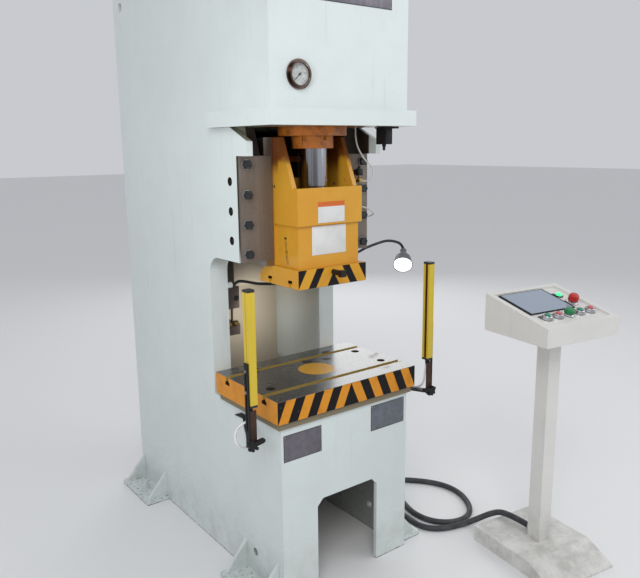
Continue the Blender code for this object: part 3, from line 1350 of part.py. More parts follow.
def lamp_route():
    """Where the lamp's flexible arm runs: from the throat, behind the slide and out to the right."""
    start_x = -(HALF_FRAME - FLANGE_WIDTH) + LAMP_SOCKET_LENGTH + GAP
    lead = 2 * LAMP_ARM_RADIUS
    socket_z = JAW_BOTTOM - LAMP_SOCKET_BELOW_JAW
    end_z = JAW_BOTTOM - LAMP_END_BELOW_JAW
    swing = LAMP_SOCKET_Y - LAMP_END_Y
    sag_z = JAW_BOTTOM - LAMP_SAG_BELOW_JAW
    rise = end_z - sag_z
    route = [
        (start_x, LAMP_SOCKET_Y, socket_z),
        (start_x + lead, LAMP_SOCKET_Y, socket_z),
    ]
    # Behind the slide the arm sags, then it climbs to the right: shares of reach, swing and rise
    for reach, turn, climb in (
        (-0.293, 0.94, 0.27),
        (-0.142, 0.85, 0.06),
        (0.071, 0.76, 0.0),
        (0.266, 0.61, 0.35),
        (0.426, 0.29, 0.83),
    ):
        route.append((reach * LAMP_END_X, LAMP_END_Y + turn * swing, sag_z + climb * rise))
    # It arches over and comes down into the shade's neck
    for reach, turn, climb in (
        (0.543, 0.07, 0.28),
        (0.637, 0.0, 0.70),
        (0.821, 0.0, 1.02),
        (0.950, 0.0, 0.72),
    ):
        route.append((reach * LAMP_END_X, LAMP_END_Y + turn * swing, end_z + climb * LAMP_ARCH_HEIGHT))
    down = lamp_axis()
    end = Vector((LAMP_END_X, LAMP_END_Y, end_z))
    route.append(tuple(end - down * lead))
    route.append(tuple(end))
    return route


def lamp_axis():
    """The way the lamp points: down, leaning forward and to the left, at the bolster."""
    tilt = math.radians(LAMP_TILT_DEGREES)
    aim = math.radians(LAMP_AIM_DEGREES)
    return Vector((-math.sin(tilt) * math.cos(aim), -math.sin(tilt) * math.sin(aim), -math.cos(tilt)))


def make_lamp(black, grey, glow):
    """Flexible lamp arm, the shade and the lit lens."""
    route = lamp_route()
    tube("lamp_arm", route, LAMP_ARM_RADIUS, black, 40, 2)
    tilt = Matrix.Translation(route[-1]) @ lamp_axis().to_track_quat("Z", "Y").to_matrix().to_4x4()
    wall = LAMP_SHADE_WALL
    waist_radius = 0.80 * LAMP_SHADE_RADIUS
    waist_height = 0.55 * LAMP_SHADE_LENGTH
    profile = [
        (0.0, GAP),
        (LAMP_NECK_RADIUS, GAP),
        (LAMP_NECK_RADIUS, 0.25 * LAMP_SHADE_LENGTH),
        (waist_radius, waist_height),
        (LAMP_SHADE_RADIUS, LAMP_SHADE_LENGTH),
        (LAMP_SHADE_RADIUS - wall, LAMP_SHADE_LENGTH),
        (waist_radius - wall, waist_height + wall),
        (0.0, 0.35 * LAMP_SHADE_LENGTH + wall),
    ]
    shade = turned(profile, (0.0, 0.0, 0.0), "Z", ROUND_SIDES)
    piece("lamp_shade", placed(shade, tilt), grey)
    seat = LAMP_SHADE_LENGTH - LAMP_LENS_INSET
    share = (seat - waist_height - wall) / (LAMP_SHADE_LENGTH - waist_height - wall)
    seat_radius = waist_radius - wall + (LAMP_SHADE_RADIUS - waist_radius) * share - GAP
    dome = [
        (0.0, seat),
        (seat_radius, seat),
        (seat_radius, LAMP_SHADE_LENGTH),
        (0.72 * seat_radius, LAMP_SHADE_LENGTH + 0.7 * LAMP_LENS_BULGE),
        (0.36 * seat_radius, LAMP_SHADE_LENGTH + 0.95 * LAMP_LENS_BULGE),
        (0.0, LAMP_SHADE_LENGTH + LAMP_LENS_BULGE),
    ]
    piece("lamp_lens", placed(turned(dome, (0.0, 0.0, 0.0), "Z", ROUND_SIDES), tilt), glow)


def make_head_fittings(black, white):
    """Travel switch under the cylinder plate and the gibs' lubrication tubes."""
    top = CYLINDER_PLATE_BOTTOM - GAP
    low = (SWITCH_LEFT, SWITCH_FRONT, top - SWITCH_HEIGHT)
    high = (SWITCH_LEFT + SWITCH_WIDTH, SWITCH_FRONT + SWITCH_DEPTH, top)
    switch = piece("travel_switch", block(low, high), black)
    centre = (SWITCH_LEFT + 0.25 * SWITCH_WIDTH, SWITCH_FRONT + SWITCH_DEPTH / 2, 0.0)
    knob_top = top - SWITCH_HEIGHT
    span = (knob_top - SWITCH_KNOB_LENGTH, knob_top + WELD_OVERLAP)
    weld(switch, rod(centre, SWITCH_KNOB_RADIUS, *span, "Z", HOLE_SIDES))
    gib_face = GIB_FRONT - GAP
    end_x = HALF_FRAME - LUBE_UPPER_INSET
    end_z = top - LUBE_UPPER_BELOW_PLATE
    drop = top - end_z
    stand = gib_face - LUBE_TUBE_Y
    loop_x = end_x + LUBE_UPPER_LOOP
    upper = [
        (LUBE_TUBE_X, LUBE_TUBE_Y, top),
        (LUBE_TUBE_X, LUBE_TUBE_Y, top - 0.14 * drop),
        (LUBE_TUBE_X + 0.07 * (loop_x - LUBE_TUBE_X), LUBE_TUBE_Y - 0.5 * stand, top - 0.36 * drop),
        (LUBE_TUBE_X + 0.44 * (loop_x - LUBE_TUBE_X), LUBE_TUBE_Y - 1.0 * stand, top - 0.58 * drop),
        (loop_x - 0.1 * LUBE_UPPER_LOOP, LUBE_TUBE_Y - 1.4 * stand, top - 0.75 * drop),
        (loop_x, LUBE_TUBE_Y - 1.5 * stand, top - 0.89 * drop),
        (end_x + 0.7 * LUBE_UPPER_LOOP, LUBE_TUBE_Y - 1.25 * stand, top - 0.985 * drop),
        (end_x + 0.26 * LUBE_UPPER_LOOP, LUBE_TUBE_Y - 0.8 * stand, top - 1.005 * drop),
        (end_x, LUBE_TUBE_Y, end_z),
        (end_x, gib_face, end_z),
    ]
    tube("lube_tube_upper", upper, LUBE_TUBE_RADIUS, white, 24)
    plate_side = HALF_FRAME + GAP
    start_x = HALF_FRAME - LUBE_LOWER_INSET
    start_z = top - LUBE_LOWER_BELOW_PLATE
    far_x = plate_side + LUBE_LOWER_LOOP
    reach = far_x - start_x
    behind = LUBE_LOWER_Y - LUBE_TUBE_Y
    lower = [
        (start_x, gib_face, start_z),
        (start_x, LUBE_TUBE_Y + 0.07 * behind, start_z),
        (start_x + 0.22 * reach, LUBE_TUBE_Y - 0.14 * behind, start_z - 0.09 * LUBE_LOWER_DROP),
        (start_x + 0.58 * reach, LUBE_TUBE_Y - 0.21 * behind, start_z - 0.34 * LUBE_LOWER_DROP),
        (start_x + 0.89 * reach, LUBE_TUBE_Y - 0.04 * behind, start_z - 0.64 * LUBE_LOWER_DROP),
        (far_x, LUBE_TUBE_Y + 0.39 * behind, start_z - 0.89 * LUBE_LOWER_DROP),
        (far_x, LUBE_TUBE_Y + 0.86 * behind, start_z - LUBE_LOWER_DROP),
        (plate_side + 0.44 * LUBE_LOWER_LOOP, LUBE_LOWER_Y, start_z - LUBE_LOWER_DROP),
        (plate_side, LUBE_LOWER_Y, start_z - LUBE_LOWER_DROP),
    ]
    tube("lube_tube_lower", lower, LUBE_TUBE_RADIUS, white, 20)


def make_console_stand(cream):
    """Console's folded base and square column."""
    half = CONSOLE_BASE_WIDTH / 2
    side_view = [
        (CONSOLE_BASE_BACK, 0.0),
        (-CONSOLE_BASE_FRONT, 0.0),
        (-CONSOLE_BASE_FRONT, CONSOLE_BASE_LIP),
        (-CONSOLE_BASE_BEND, CONSOLE_BASE_HEIGHT),
        (CONSOLE_BASE_BACK, CONSOLE_BASE_HEIGHT),
    ]
    piece("console_base", placed(prism(side_view, "X", -half, half), CONSOLE_PLACE), cream)
    half_column = COLUMN_WIDTH / 2
    low = (-half_column, -half_column, CONSOLE_BASE_HEIGHT + GAP)
    high = (half_column, half_column, COLUMN_TOP)
    column = piece("console_column", placed(block(low, high), CONSOLE_PLACE), cream)
    inlet = (half_column - 0.5 * SLEEVE_LENGTH, half_column + WELD_OVERLAP)
    hole = rod((0.0, 0.0, SLEEVE_Z), SLEEVE_RADIUS + GAP, *inlet, "Y", SMALL_SIDES)
    cut(column, [placed(hole, CONSOLE_PLACE)])


def button_places():
    """Middle of each button in the front row, across the panel."""
    return [BUTTON_FIRST_X + BUTTON_PITCH * index for index in range(5)]


def make_console_head(cream):
    """Sloping desk box with a recessed panel, button collars and bores for the stems."""
    half_width = CONSOLE_HEAD_WIDTH / 2
    half_depth = CONSOLE_HEAD_DEPTH / 2
    side_view = [
        (-half_depth, HEAD_BOTTOM),
        (half_depth, HEAD_BOTTOM),
        (half_depth, HEAD_BOTTOM + CONSOLE_HEAD_REAR_HEIGHT),
        (-half_depth, HEAD_BOTTOM + CONSOLE_HEAD_FRONT_HEIGHT),
    ]
    housing = placed(prism(side_view, "X", -half_width, half_width), CONSOLE_PLACE)
    head = piece("console_head", housing, cream)
    low = (-half_width + PANEL_RIM, PANEL_RIM, -PANEL_RECESS)
    high = (half_width - PANEL_RIM, PANEL_LENGTH - PANEL_RIM, PANEL_RECESS)
    cut(head, [placed(block(low, high), PANEL_PLACE)])
    collars = []
    bores = []
    floor = -PANEL_RECESS
    spots = [(x, BUTTON_ROW_Y) for x in button_places()]
    spots.append((STOP_X, STOP_Y))
    for x, y in spots:
        span = (floor - WELD_OVERLAP, floor + COLLAR_HEIGHT)
        collars.append(rod((x, y, 0.0), COLLAR_RADIUS, *span, "Z", SMALL_SIDES))
        depth = floor - BUTTON_STEM_DEPTH - BUTTON_TRAVEL - STOP_TRAVEL
        top = floor + COLLAR_HEIGHT + WELD_OVERLAP
        bores.append(rod((x, y, 0.0), BUTTON_STEM_RADIUS + GAP, depth, top, "Z", SMALL_SIDES))
    weld(head, placed(gathered(collars), PANEL_PLACE))
    cut(head, [placed(gathered(bores), PANEL_PLACE)])


def make_screen(black):
    """Touch screen set on the panel."""
    floor = -PANEL_RECESS + GAP
    low = (SCREEN_X - SCREEN_WIDTH / 2, SCREEN_Y - SCREEN_LENGTH / 2, floor)
    high = (SCREEN_X + SCREEN_WIDTH / 2, SCREEN_Y + SCREEN_LENGTH / 2, floor + SCREEN_THICKNESS)
    piece("touch_screen", placed(block(low, high), PANEL_PLACE), black)


def button_profile(radius, height, travel):
    """Turned outline of a button's cap and stem above the collar."""
    seat = -PANEL_RECESS + COLLAR_HEIGHT + GAP + travel
    round_off = 0.25 * height
    return [
        (0.0, -PANEL_RECESS - BUTTON_STEM_DEPTH),
        (BUTTON_STEM_RADIUS, -PANEL_RECESS - BUTTON_STEM_DEPTH),
        (BUTTON_STEM_RADIUS, seat),
        (radius, seat),
        (radius, seat + height - round_off),
        (radius - round_off, seat + height),
        (0.0, seat + height),
    ]


def make_button(name, x, y, radius, height, travel, finish):
    """One push button, whose origin lies on its own axis at the panel."""
    profile = button_profile(radius, height, travel)
    shape = placed(turned(profile, (x, y, 0.0), "Z", SMALL_SIDES), PANEL_PLACE)
    piece(name, shape, finish, PANEL_PLACE @ Vector((x, y, -PANEL_RECESS)))


def make_console(cream, black, green, red, lit_green):
    """The free-standing control console."""
    make_console_stand(cream)
    make_console_head(cream)
    make_screen(black)
    names = ("button_start", "button_up", "button_press", "button_down", "button_motor_stop")
    finishes = (green, red, green, green, red)
    for name, x, finish in zip(names, button_places(), finishes):
        mushroom = name == "button_press"
        radius = MUSHROOM_RADIUS if mushroom else BUTTON_RADIUS
        height = MUSHROOM_HEIGHT if mushroom else BUTTON_HEIGHT
        make_button(name, x, BUTTON_ROW_Y, radius, height, BUTTON_TRAVEL, finish)
    make_button("emergency_stop", STOP_X, STOP_Y, STOP_RADIUS, STOP_HEIGHT, STOP_TRAVEL, red)
    floor = -PANEL_RECESS + GAP
    lens = [
        (0.0, floor),
        (COLLAR_RADIUS, floor),
        (COLLAR_RADIUS, floor + 0.5 * COLLAR_HEIGHT),
        (PILOT_RADIUS, floor + 0.5 * COLLAR_HEIGHT),
        (PILOT_RADIUS, floor + 0.6 * PILOT_HEIGHT),
        (0.7 * PILOT_RADIUS, floor + 0.9 * PILOT_HEIGHT),
        (0.0, floor + PILOT_HEIGHT),
    ]
    shape = placed(turned(lens, (PILOT_X, PILOT_Y, 0.0), "Z", SMALL_SIDES), PANEL_PLACE)
    piece("pilot_lamp", shape, lit_green)


def conduit_route():
    """The conduit's way from the press's side, over the floor and into the console's column."""
    start_x = HALF_FRAME + GLAND_LENGTH + GAP
    lying = CONDUIT_RADIUS
    sleeve_y = COLUMN_WIDTH / 2 + SLEEVE_LENGTH / 2 + GAP
    end = CONSOLE_PLACE @ Vector((0.0, sleeve_y, SLEEVE_Z))
    before_end = CONSOLE_PLACE @ Vector((0.0, sleeve_y + 0.035, SLEEVE_Z))
    return [
        (start_x, GLAND_Y, GLAND_Z),
        (start_x + 0.030, GLAND_Y, GLAND_Z),
        (start_x + 0.084, GLAND_Y - 0.004, GLAND_Z - 0.012),
        (0.482, 0.812, 0.070),
        (0.538, 0.750, 0.032),
        (0.580, 0.668, lying),
        (0.603, 0.580, lying),
        (0.622, 0.494, lying),
        (0.664, 0.416, lying),
        (0.726, 0.350, lying),
        (0.776, 0.278, lying),
        (0.800, 0.196, lying),
        (0.785, 0.108, lying),
        (0.732, 0.020, lying),
        (0.664, -0.026, lying),
        (0.598, -0.026, lying),
        (0.543, 0.004, lying),
        (0.505, 0.062, lying),
        (0.498, 0.146, lying),
        (0.523, 0.232, lying),
        (0.555, 0.318, lying),
        (0.562, 0.404, lying),
        (0.524, 0.486, lying),
        (0.452, 0.514, lying),
        (0.388, 0.480, lying),
        (0.360, 0.412, lying),
        (0.386, 0.344, lying),
        (0.433, 0.275, lying),
        (0.450, 0.196, lying),
        (0.444, 0.110, lying),
        (0.443, 0.044, lying),
        (0.474, -0.006, lying),
        (0.524, -0.036, lying),
        (0.580, -0.052, 0.0135),
        (0.634, -0.076, 0.022),
        (0.675, -0.118, 0.054),
        (0.698, -0.166, 0.084),
        (0.706, -0.208, 0.088),
        tuple(before_end),
        tuple(end),
    ]


def make_conduit(black, zinc):
    """The conduit, the gland on the press and the sleeve at the console."""
    inner = PLATE_INNER_X + WELD_OVERLAP
    outer = HALF_FRAME
    gland = [
        (0.0, inner),
        (CONDUIT_RADIUS, inner),
        (CONDUIT_RADIUS, outer + GAP),
        (GLAND_NUT_RADIUS, outer + GAP),
        (GLAND_NUT_RADIUS, outer + 0.55 * GLAND_LENGTH),
        (CONDUIT_RADIUS + 0.004, outer + GLAND_LENGTH),
        (0.0, outer + GLAND_LENGTH),
    ]
    piece("conduit_gland", turned(gland, (0.0, GLAND_Y, GLAND_Z), "X", SMALL_SIDES), black)
    half_column = COLUMN_WIDTH / 2
    span = (half_column - 0.5 * SLEEVE_LENGTH + GAP, half_column + 0.5 * SLEEVE_LENGTH)
    sleeve = rod((0.0, 0.0, SLEEVE_Z), SLEEVE_RADIUS, *span, "Y", SMALL_SIDES)
    piece("console_sleeve", placed(sleeve, CONSOLE_PLACE), zinc)
    tube("conduit", conduit_route(), CONDUIT_RADIUS, black, CONDUIT_POINTS, 2)


def main():
    """Build the whole press."""
    clear_scene()
    PIECES.clear()
    make_datum()
    paint = material("mint_white_enamel", (0.62, 0.70, 0.66), 0.28)
    yellow = material("slide_yellow", (0.80, 0.42, 0.03), 0.35)
    orange = material("cylinder_orange", (0.60, 0.20, 0.03), 0.45)
    lemon = material("curtain_yellow", (0.80, 0.62, 0.04), 0.40)
    steel = material("ground_steel", (0.42, 0.41, 0.38), 0.30, 1.0)
    dark = material("dark_steel", (0.05, 0.05, 0.055), 0.45, 0.8)
    chrome = material("hard_chrome", (0.75, 0.76, 0.78), 0.10, 1.0)
    iron = material("grey_iron", (0.18, 0.18, 0.18), 0.60, 0.3)
    black = material("black_plastic", (0.015, 0.015, 0.016), 0.45)
    brown = material("brown_primer", (0.16, 0.08, 0.05), 0.60)
    beige = material("tank_beige", (0.50, 0.42, 0.33), 0.50)
    cream = material("console_white", (0.78, 0.76, 0.72), 0.40)
    white = material("white_nylon", (0.75, 0.75, 0.72), 0.40)
    zinc = material("zinc", (0.55, 0.57, 0.60), 0.35, 1.0)
    glass = material("clear_glass", (0.90, 0.92, 0.92), 0.05)
    glow = material("lamp_glow", (0.95, 0.97, 1.00), 0.20)
    green = material("button_green", (0.02, 0.28, 0.10), 0.35)
    red = material("button_red", (0.55, 0.02, 0.02), 0.35)
    lit_green = material("pilot_green", (0.02, 0.85, 0.20), 0.25)
    make_frame(paint)
    make_feet(paint)
    make_bolster(steel, paint, yellow)
    make_cylinder(iron, orange, chrome)
    make_slide(yellow, dark)
    make_gibs(steel, dark)
    make_hydraulics(beige, iron, brown)
    make_gauge(chrome, dark, glass)
    make_curtain("left", -1, lemon, black, brown)
    make_curtain("right", 1, lemon, black, brown)
    make_lamp(black, iron, glow)
    make_head_fittings(black, white)
    make_console(cream, black, green, red, lit_green)
    make_conduit(black, zinc)


main()
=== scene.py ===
import math

import bmesh
import bpy
from mathutils import Matrix, Vector


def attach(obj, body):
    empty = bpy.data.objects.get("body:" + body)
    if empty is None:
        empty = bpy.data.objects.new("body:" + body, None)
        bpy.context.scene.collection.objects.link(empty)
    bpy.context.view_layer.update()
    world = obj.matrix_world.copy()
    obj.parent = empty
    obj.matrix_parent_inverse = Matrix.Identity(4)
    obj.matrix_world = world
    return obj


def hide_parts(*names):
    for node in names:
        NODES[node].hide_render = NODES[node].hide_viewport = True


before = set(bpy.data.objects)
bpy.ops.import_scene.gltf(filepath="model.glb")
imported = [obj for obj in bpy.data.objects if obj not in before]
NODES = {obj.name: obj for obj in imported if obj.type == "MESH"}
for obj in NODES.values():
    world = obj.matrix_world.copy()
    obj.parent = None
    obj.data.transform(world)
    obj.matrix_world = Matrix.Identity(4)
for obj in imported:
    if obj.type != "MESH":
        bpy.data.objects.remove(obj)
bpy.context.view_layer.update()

# Where the row's origin lies in the press's design frame: X = 0 on the ram, Y = 0 on the apron
ORIGIN_X = 0.22755
ORIGIN_Y = 0.31717
ORIGIN = Vector((ORIGIN_X, ORIGIN_Y, 0.0))

# Camera fitted to the photograph, in the design frame
CAMERA_PLACE = (-1.545, -1.869, 1.63)
CAMERA_YAW = math.radians(37.24)
CAMERA_PITCH = math.radians(-11.716)
CAMERA_ROLL = math.radians(-0.612)
CAMERA_LENS = 38.97

FORWARD = (0, -1, 0)
UPWARD = (0, 0, 1)
SIDES = (("left", -1), ("right", 1))

# The head's front, and the light curtains: a post's axis and half its width, and the knob's axis
HEAD_Y = 0.02
POST_X = 0.4135
POST_HALF = 0.0135
KNOB_X = 0.4303
KNOB_Z = 0.655


def at(x, y, z):
    """A point of the design frame, in the row frame."""
    return Vector((x, y, z)) - ORIGIN


def linked(name, data):
    """A new object in the scene."""
    item = bpy.data.objects.new(name, data)
    bpy.context.collection.objects.link(item)
    return item


def make_camera():
    """The camera at the photograph's place and angle."""
    data = bpy.data.cameras.new("camera")
    data.lens = CAMERA_LENS
    data.sensor_width = 36.0
    data.clip_end = 60.0
    camera = linked("camera", data)
    level = math.cos(CAMERA_PITCH)
    ahead = Vector((math.sin(CAMERA_YAW) * level, math.cos(CAMERA_YAW) * level, math.sin(CAMERA_PITCH)))
    right = Vector((math.cos(CAMERA_YAW), -math.sin(CAMERA_YAW), 0.0))
    up = right.cross(ahead)
    tilted = right * math.cos(CAMERA_ROLL) + up * math.sin(CAMERA_ROLL)
    upright = -right * math.sin(CAMERA_ROLL) + up * math.cos(CAMERA_ROLL)
    turn = Matrix((tilted, upright, -ahead)).transposed().to_4x4()
    camera.matrix_world = Matrix.Translation(at(*CAMERA_PLACE)) @ turn
    bpy.context.scene.camera = camera


def smooth_route(points, count):
    """Evenly spaced points on a smooth curve through a route, with a straight lead at each end."""
    knots = [Vector(point) for point in points]
    dense = []
    per_span = 24
    for index in range(1, len(knots) - 2):
        before, here, there, after = knots[index - 1 : index + 3]
        slope_here = (there - before) / 2
        slope_there = (after - here) / 2
        for step in range(per_span):
            t = step / per_span
            square = t * t
            cube = square * t
            dense.append(
                here * (2 * cube - 3 * square + 1)
                + slope_here * (cube - 2 * square + t)
                + there * (3 * square - 2 * cube)
                + slope_there * (cube - square)
            )
    dense.append(knots[-2])
    lengths = [0.0]
    for first, second in zip(dense, dense[1:]):
        lengths.append(lengths[-1] + (second - first).length)
    route = [knots[0]]
    place = 0
    between = count - 2
    for index in range(between):
        target = lengths[-1] * index / (between - 1)
        while place < len(lengths) - 2 and lengths[place + 1] < target:
            place += 1
        span = lengths[place + 1] - lengths[place]
        share = (target - lengths[place]) / span
        route.append(dense[place].lerp(dense[place + 1], share))
    route.append(knots[-1])
    return route


# The console stands turned a little on the floor
CONSOLE_PLACE = Matrix.Translation(at(0.697, -0.3675, 0.0)) @ Matrix.Rotation(math.radians(-7.7), 4, "Z")

# The conduit's route, as the model's source has it: down from the gland on the press's side, over
# the floor, and up to the sleeve on the console's column
CONDUIT_RADIUS = 0.0125
CONDUIT_POINTS = 78
CONDUIT_DOWN = (
    (0.3363, 0.85, 0.12), (0.3663, 0.85, 0.12), (0.4203, 0.846, 0.108), (0.482, 0.812, 0.07),
    (0.538, 0.75, 0.032),
)
CONDUIT_LYING = (
    (0.58, 0.668), (0.603, 0.58), (0.622, 0.494), (0.664, 0.416), (0.726, 0.35), (0.776, 0.278),
    (0.8, 0.196), (0.785, 0.108), (0.732, 0.02), (0.664, -0.026), (0.598, -0.026), (0.543, 0.004),
    (0.505, 0.062), (0.498, 0.146), (0.523, 0.232), (0.555, 0.318), (0.562, 0.404), (0.524, 0.486),
    (0.452, 0.514), (0.388, 0.48), (0.36, 0.412), (0.386, 0.344), (0.433, 0.275), (0.45, 0.196),
    (0.444, 0.11), (0.443, 0.044), (0.474, -0.006), (0.524, -0.036),
)
CONDUIT_UP = (
    (0.58, -0.052, 0.0135), (0.634, -0.076, 0.022), (0.675, -0.118, 0.054), (0.698, -0.166, 0.084),
    (0.706, -0.208, 0.088),
)
SLEEVE = Vector((0.0, 0.0488, 0.086))
SLEEVE_LEAD = Vector((0.0, 0.035, 0.0))


def conduit_route():
    """Points from the gland on the press's side to the sleeve on the console's column."""
    route = [*CONDUIT_DOWN, *((x, y, CONDUIT_RADIUS) for x, y in CONDUIT_LYING), *CONDUIT_UP]
    ends = [CONSOLE_PLACE @ (SLEEVE + SLEEVE_LEAD), CONSOLE_PLACE @ SLEEVE]
    return [at(*place) for place in route] + ends


# A noise's stretch along X, Y and Z
EVEN = (1.0, 1.0, 1.0)


class Surface:
    """A material whose node tree is built one effect at a time, in the design frame."""

    def __init__(self, name, colour, roughness, metallic=0.0):
        self.material = bpy.data.materials.new(name)
        self.material.use_nodes = True
        tree = self.material.node_tree
        self.nodes = tree.nodes
        self.links = tree.links
        self.shader = tree.nodes["Principled BSDF"]
        self.colour = (*colour, 1.0)
        self.roughness = roughness
        self.metallic = metallic
        self.normal = None
        coordinates = self.node("TexCoord", {}).outputs["Object"]
        self.place = self.node("VectorMath", {0: coordinates, 1: ORIGIN}, operation="ADD").outputs[0]
        self.x, self.y, self.z = self.node("SeparateXYZ", {0: self.place}).outputs

    def feed(self, node, inputs):
        """Link a node's inputs to outputs, or set plain values."""
        for name, value in inputs.items():
            if isinstance(value, bpy.types.NodeSocket):
                self.links.new(value, node.inputs[name])
            else:
                node.inputs[name].default_value = value

    def node(self, kind, inputs, **settings):
        """A new node with its settings and inputs."""
        node = self.nodes.new("ShaderNode" + kind)
        for name, value in settings.items():
            setattr(node, name, value)
        self.feed(node, inputs)
        return node

    def math(self, operation, first, second=0.0):
        """One math node."""
        return self.node("Math", {0: first, 1: second}, operation=operation).outputs[0]

    def noise(self, scale, detail, stretch=EVEN, roughness=0.55, seed=0.0):
        """Smooth noise from 0 to 1, finer along an axis with a larger stretch."""
        shift = (seed, 0.7 * seed, 1.3 * seed)
        mapping = self.node("Mapping", {"Vector": self.place, "Scale": stretch, "Location": shift})
        inputs = {"Vector": mapping.outputs[0], "Scale": scale, "Detail": detail, "Roughness": roughness}
        return self.node("TexNoise", inputs).outputs["Fac"]

    def ramp(self, value, low, high):
        """0 below low, 1 above high and smooth between. It falls where low is above high."""
        inputs = {"Value": value, "From Min": min(low, high), "From Max": max(low, high)}
        if low > high:
            inputs.update({"To Min": 1.0, "To Max": 0.0})
        return self.node("MapRange", inputs, interpolation_type="SMOOTHSTEP").outputs[0]

    def within(self, value, low, high, soft=0.0004):
        """1 where a value lies between two limits."""
        rise = self.ramp(value, low - soft, low + soft)
        fall = self.ramp(value, high + soft, high - soft)
        return self.product(rise, fall)

    def product(self, *masks):
        """All masks together."""
        result = masks[0]
        for mask in masks[1:]:
            result = self.math("MULTIPLY", result, mask)
        return result

    def plus(self, first, second):
        """The sum."""
        return self.math("ADD", first, second)

    def minus(self, first, second):
        """The difference."""
        return self.math("SUBTRACT", first, second)

    def size(self, value):
        """The value without its sign."""
        return self.math("ABSOLUTE", value)

    def most(self, first, second):
        """The larger of two."""
        return self.math("MAXIMUM", first, second)

    def waver(self, reach, scale, detail, stretch=EVEN, seed=0.0):
        """Noise about zero, which makes an edge ragged."""
        return self.product(self.minus(self.noise(scale, detail, stretch, seed=seed), 0.5), reach)

    def part(self, mask, amount):
        """A share of a mask, or all of it."""
        return mask if amount is None else self.product(mask, amount)

    def tint(self, mask, colour, amount=None):
        """Colour the surface where a mask says, as strongly as the amount says."""
        node = self.node("Mix", {"Factor": self.part(mask, amount)}, data_type="RGBA")
        # The mix node lists a socket of each type, and the colour ones come last
        sockets = [index for index, socket in enumerate(node.inputs) if socket.type == "RGBA"]
        self.feed(node, {sockets[0]: self.colour, sockets[1]: (*colour, 1.0)})
        self.colour = [socket for socket in node.outputs if socket.type == "RGBA"][0]
        return self

    def level(self, current, mask, value):
        """Mix a number towards a value where a mask says."""
        return self.node("Mix", {0: mask, 2: current, 3: value}, data_type="FLOAT").outputs[0]

    def rough(self, mask, value, amount=None):
        """Set the roughness where a mask says, as strongly as the amount says."""
        self.roughness = self.level(self.roughness, self.part(mask, amount), value)
        return self

    def metal(self, mask, value):
        """Set the metallic value where a mask says."""
        self.metallic = self.level(self.metallic, mask, value)
        return self

    def bump(self, height, strength, distance):
        """Raise the surface by a height."""
        inputs = {"Height": height, "Strength": strength, "Distance": distance}
        if self.normal is not None:
            inputs["Normal"] = self.normal
        self.normal = self.node("Bump", inputs).outputs[0]
        return self

    def mottle(self, scale, colour, amount, seed):
        """Large soft patches of a second tone."""
        mask = self.ramp(self.noise(scale, 4.0, seed=seed), 0.35, 0.75)
        return self.tint(mask, colour, amount)

    def specks(self, scale, colour, level, amount, seed):
        """Small dark marks."""
        mask = self.ramp(self.noise(scale, 2.0, seed=seed), level, level + 0.06)
        return self.tint(mask, colour, amount)

    def apart(self, along, across, x, y):
        """How far a point is from a line that crosses the two axes at a place."""
        reach = self.math("POWER", self.size(self.minus(along, x)), 2.0)
        rise = self.math("POWER", self.size(self.minus(across, y)), 2.0)
        return self.math("SQRT", self.plus(reach, rise))

    def shine(self, inputs):
        """Set the shader's other values."""
        self.feed(self.shader, inputs)
        return self

    def dull(self, level):
        """Weaken the reflection over the whole surface."""
        return self.shine({"Specular IOR Level": level})

    def done(self):
        """Connect the results to the shader."""
        results = {"Base Color": self.colour, "Roughness": self.roughness, "Metallic": self.metallic}
        if self.normal is not None:
            results["Normal"] = self.normal
        return self.shine(results).material


MINT = (0.64, 0.7, 0.685)
CREAM = (0.64, 0.61, 0.5)
GOLD = (0.62, 0.32, 0.028)
STRIPE_BLACK = (0.005, 0.004, 0.005)
GRIME = (0.055, 0.045, 0.036)
DULL_GREY = (0.3, 0.29, 0.265)


def shade(colour, factor):
    """A darker tone of a colour."""
    return [factor * value for value in colour]


def enamel(name, colour, roughness=0.26, low_darkening=0.5, seed=0.0):
    """Brushed-on glossy enamel with orange peel, dusty runs, scuffs, specks and darker grey patches towards
    the floor.
    """
    s = Surface(name, colour, roughness)
    s.mottle(2.2, shade(colour, 0.86), 0.35, seed)
    s.mottle(11.0, shade(colour, 0.93), 0.5, seed + 2.0)
    runs = s.ramp(s.noise(9.0, 4.0, (5.0, 5.0, 0.35), seed=seed + 5.0), 0.6, 0.8)
    s.tint(runs, DULL_GREY, 0.16)
    scuffs = s.ramp(s.noise(30.0, 5.0, (1.0, 1.0, 2.6), 0.7, seed + 9.0), 0.7, 0.78)
    s.tint(scuffs, GRIME, 0.3)
    s.rough(scuffs, 0.55, 0.7)
    s.specks(170.0, GRIME, 0.73, 0.55, seed + 4.0)
    # Darker grey patches towards the floor
    floor = s.ramp(s.z, 0.3, 0.0)
    patches = s.ramp(s.noise(13.0, 5.0, roughness=0.7, seed=seed + 7.0), 0.32, 0.72)
    low = s.product(floor, patches)
    s.tint(low, DULL_GREY, low_darkening)
    s.rough(low, 0.7, low_darkening)
    s.bump(s.noise(420.0, 2.0), 0.1, 0.0006)
    s.bump(s.noise(26.0, 3.0, (1.0, 1.0, 0.4)), 0.1, 0.003)
    return s


def plain(name, colour, roughness, metallic=0.0, grain=300.0, seed=0.0):
    """A simple finish with a fine grain, a second tone and a few specks."""
    s = Surface(name, colour, roughness, metallic)
    s.mottle(14.0, shade(colour, 0.78), 0.6, seed)
    s.specks(210.0, shade(colour, 0.5), 0.7, 0.5, seed + 1.0)
    s.rough(s.noise(22.0, 4.0, seed=seed + 2.0), min(1.0, roughness + 0.25), 0.35)
    s.bump(s.noise(grain, 3.0, seed=seed), 0.16, 0.0006)
    return s


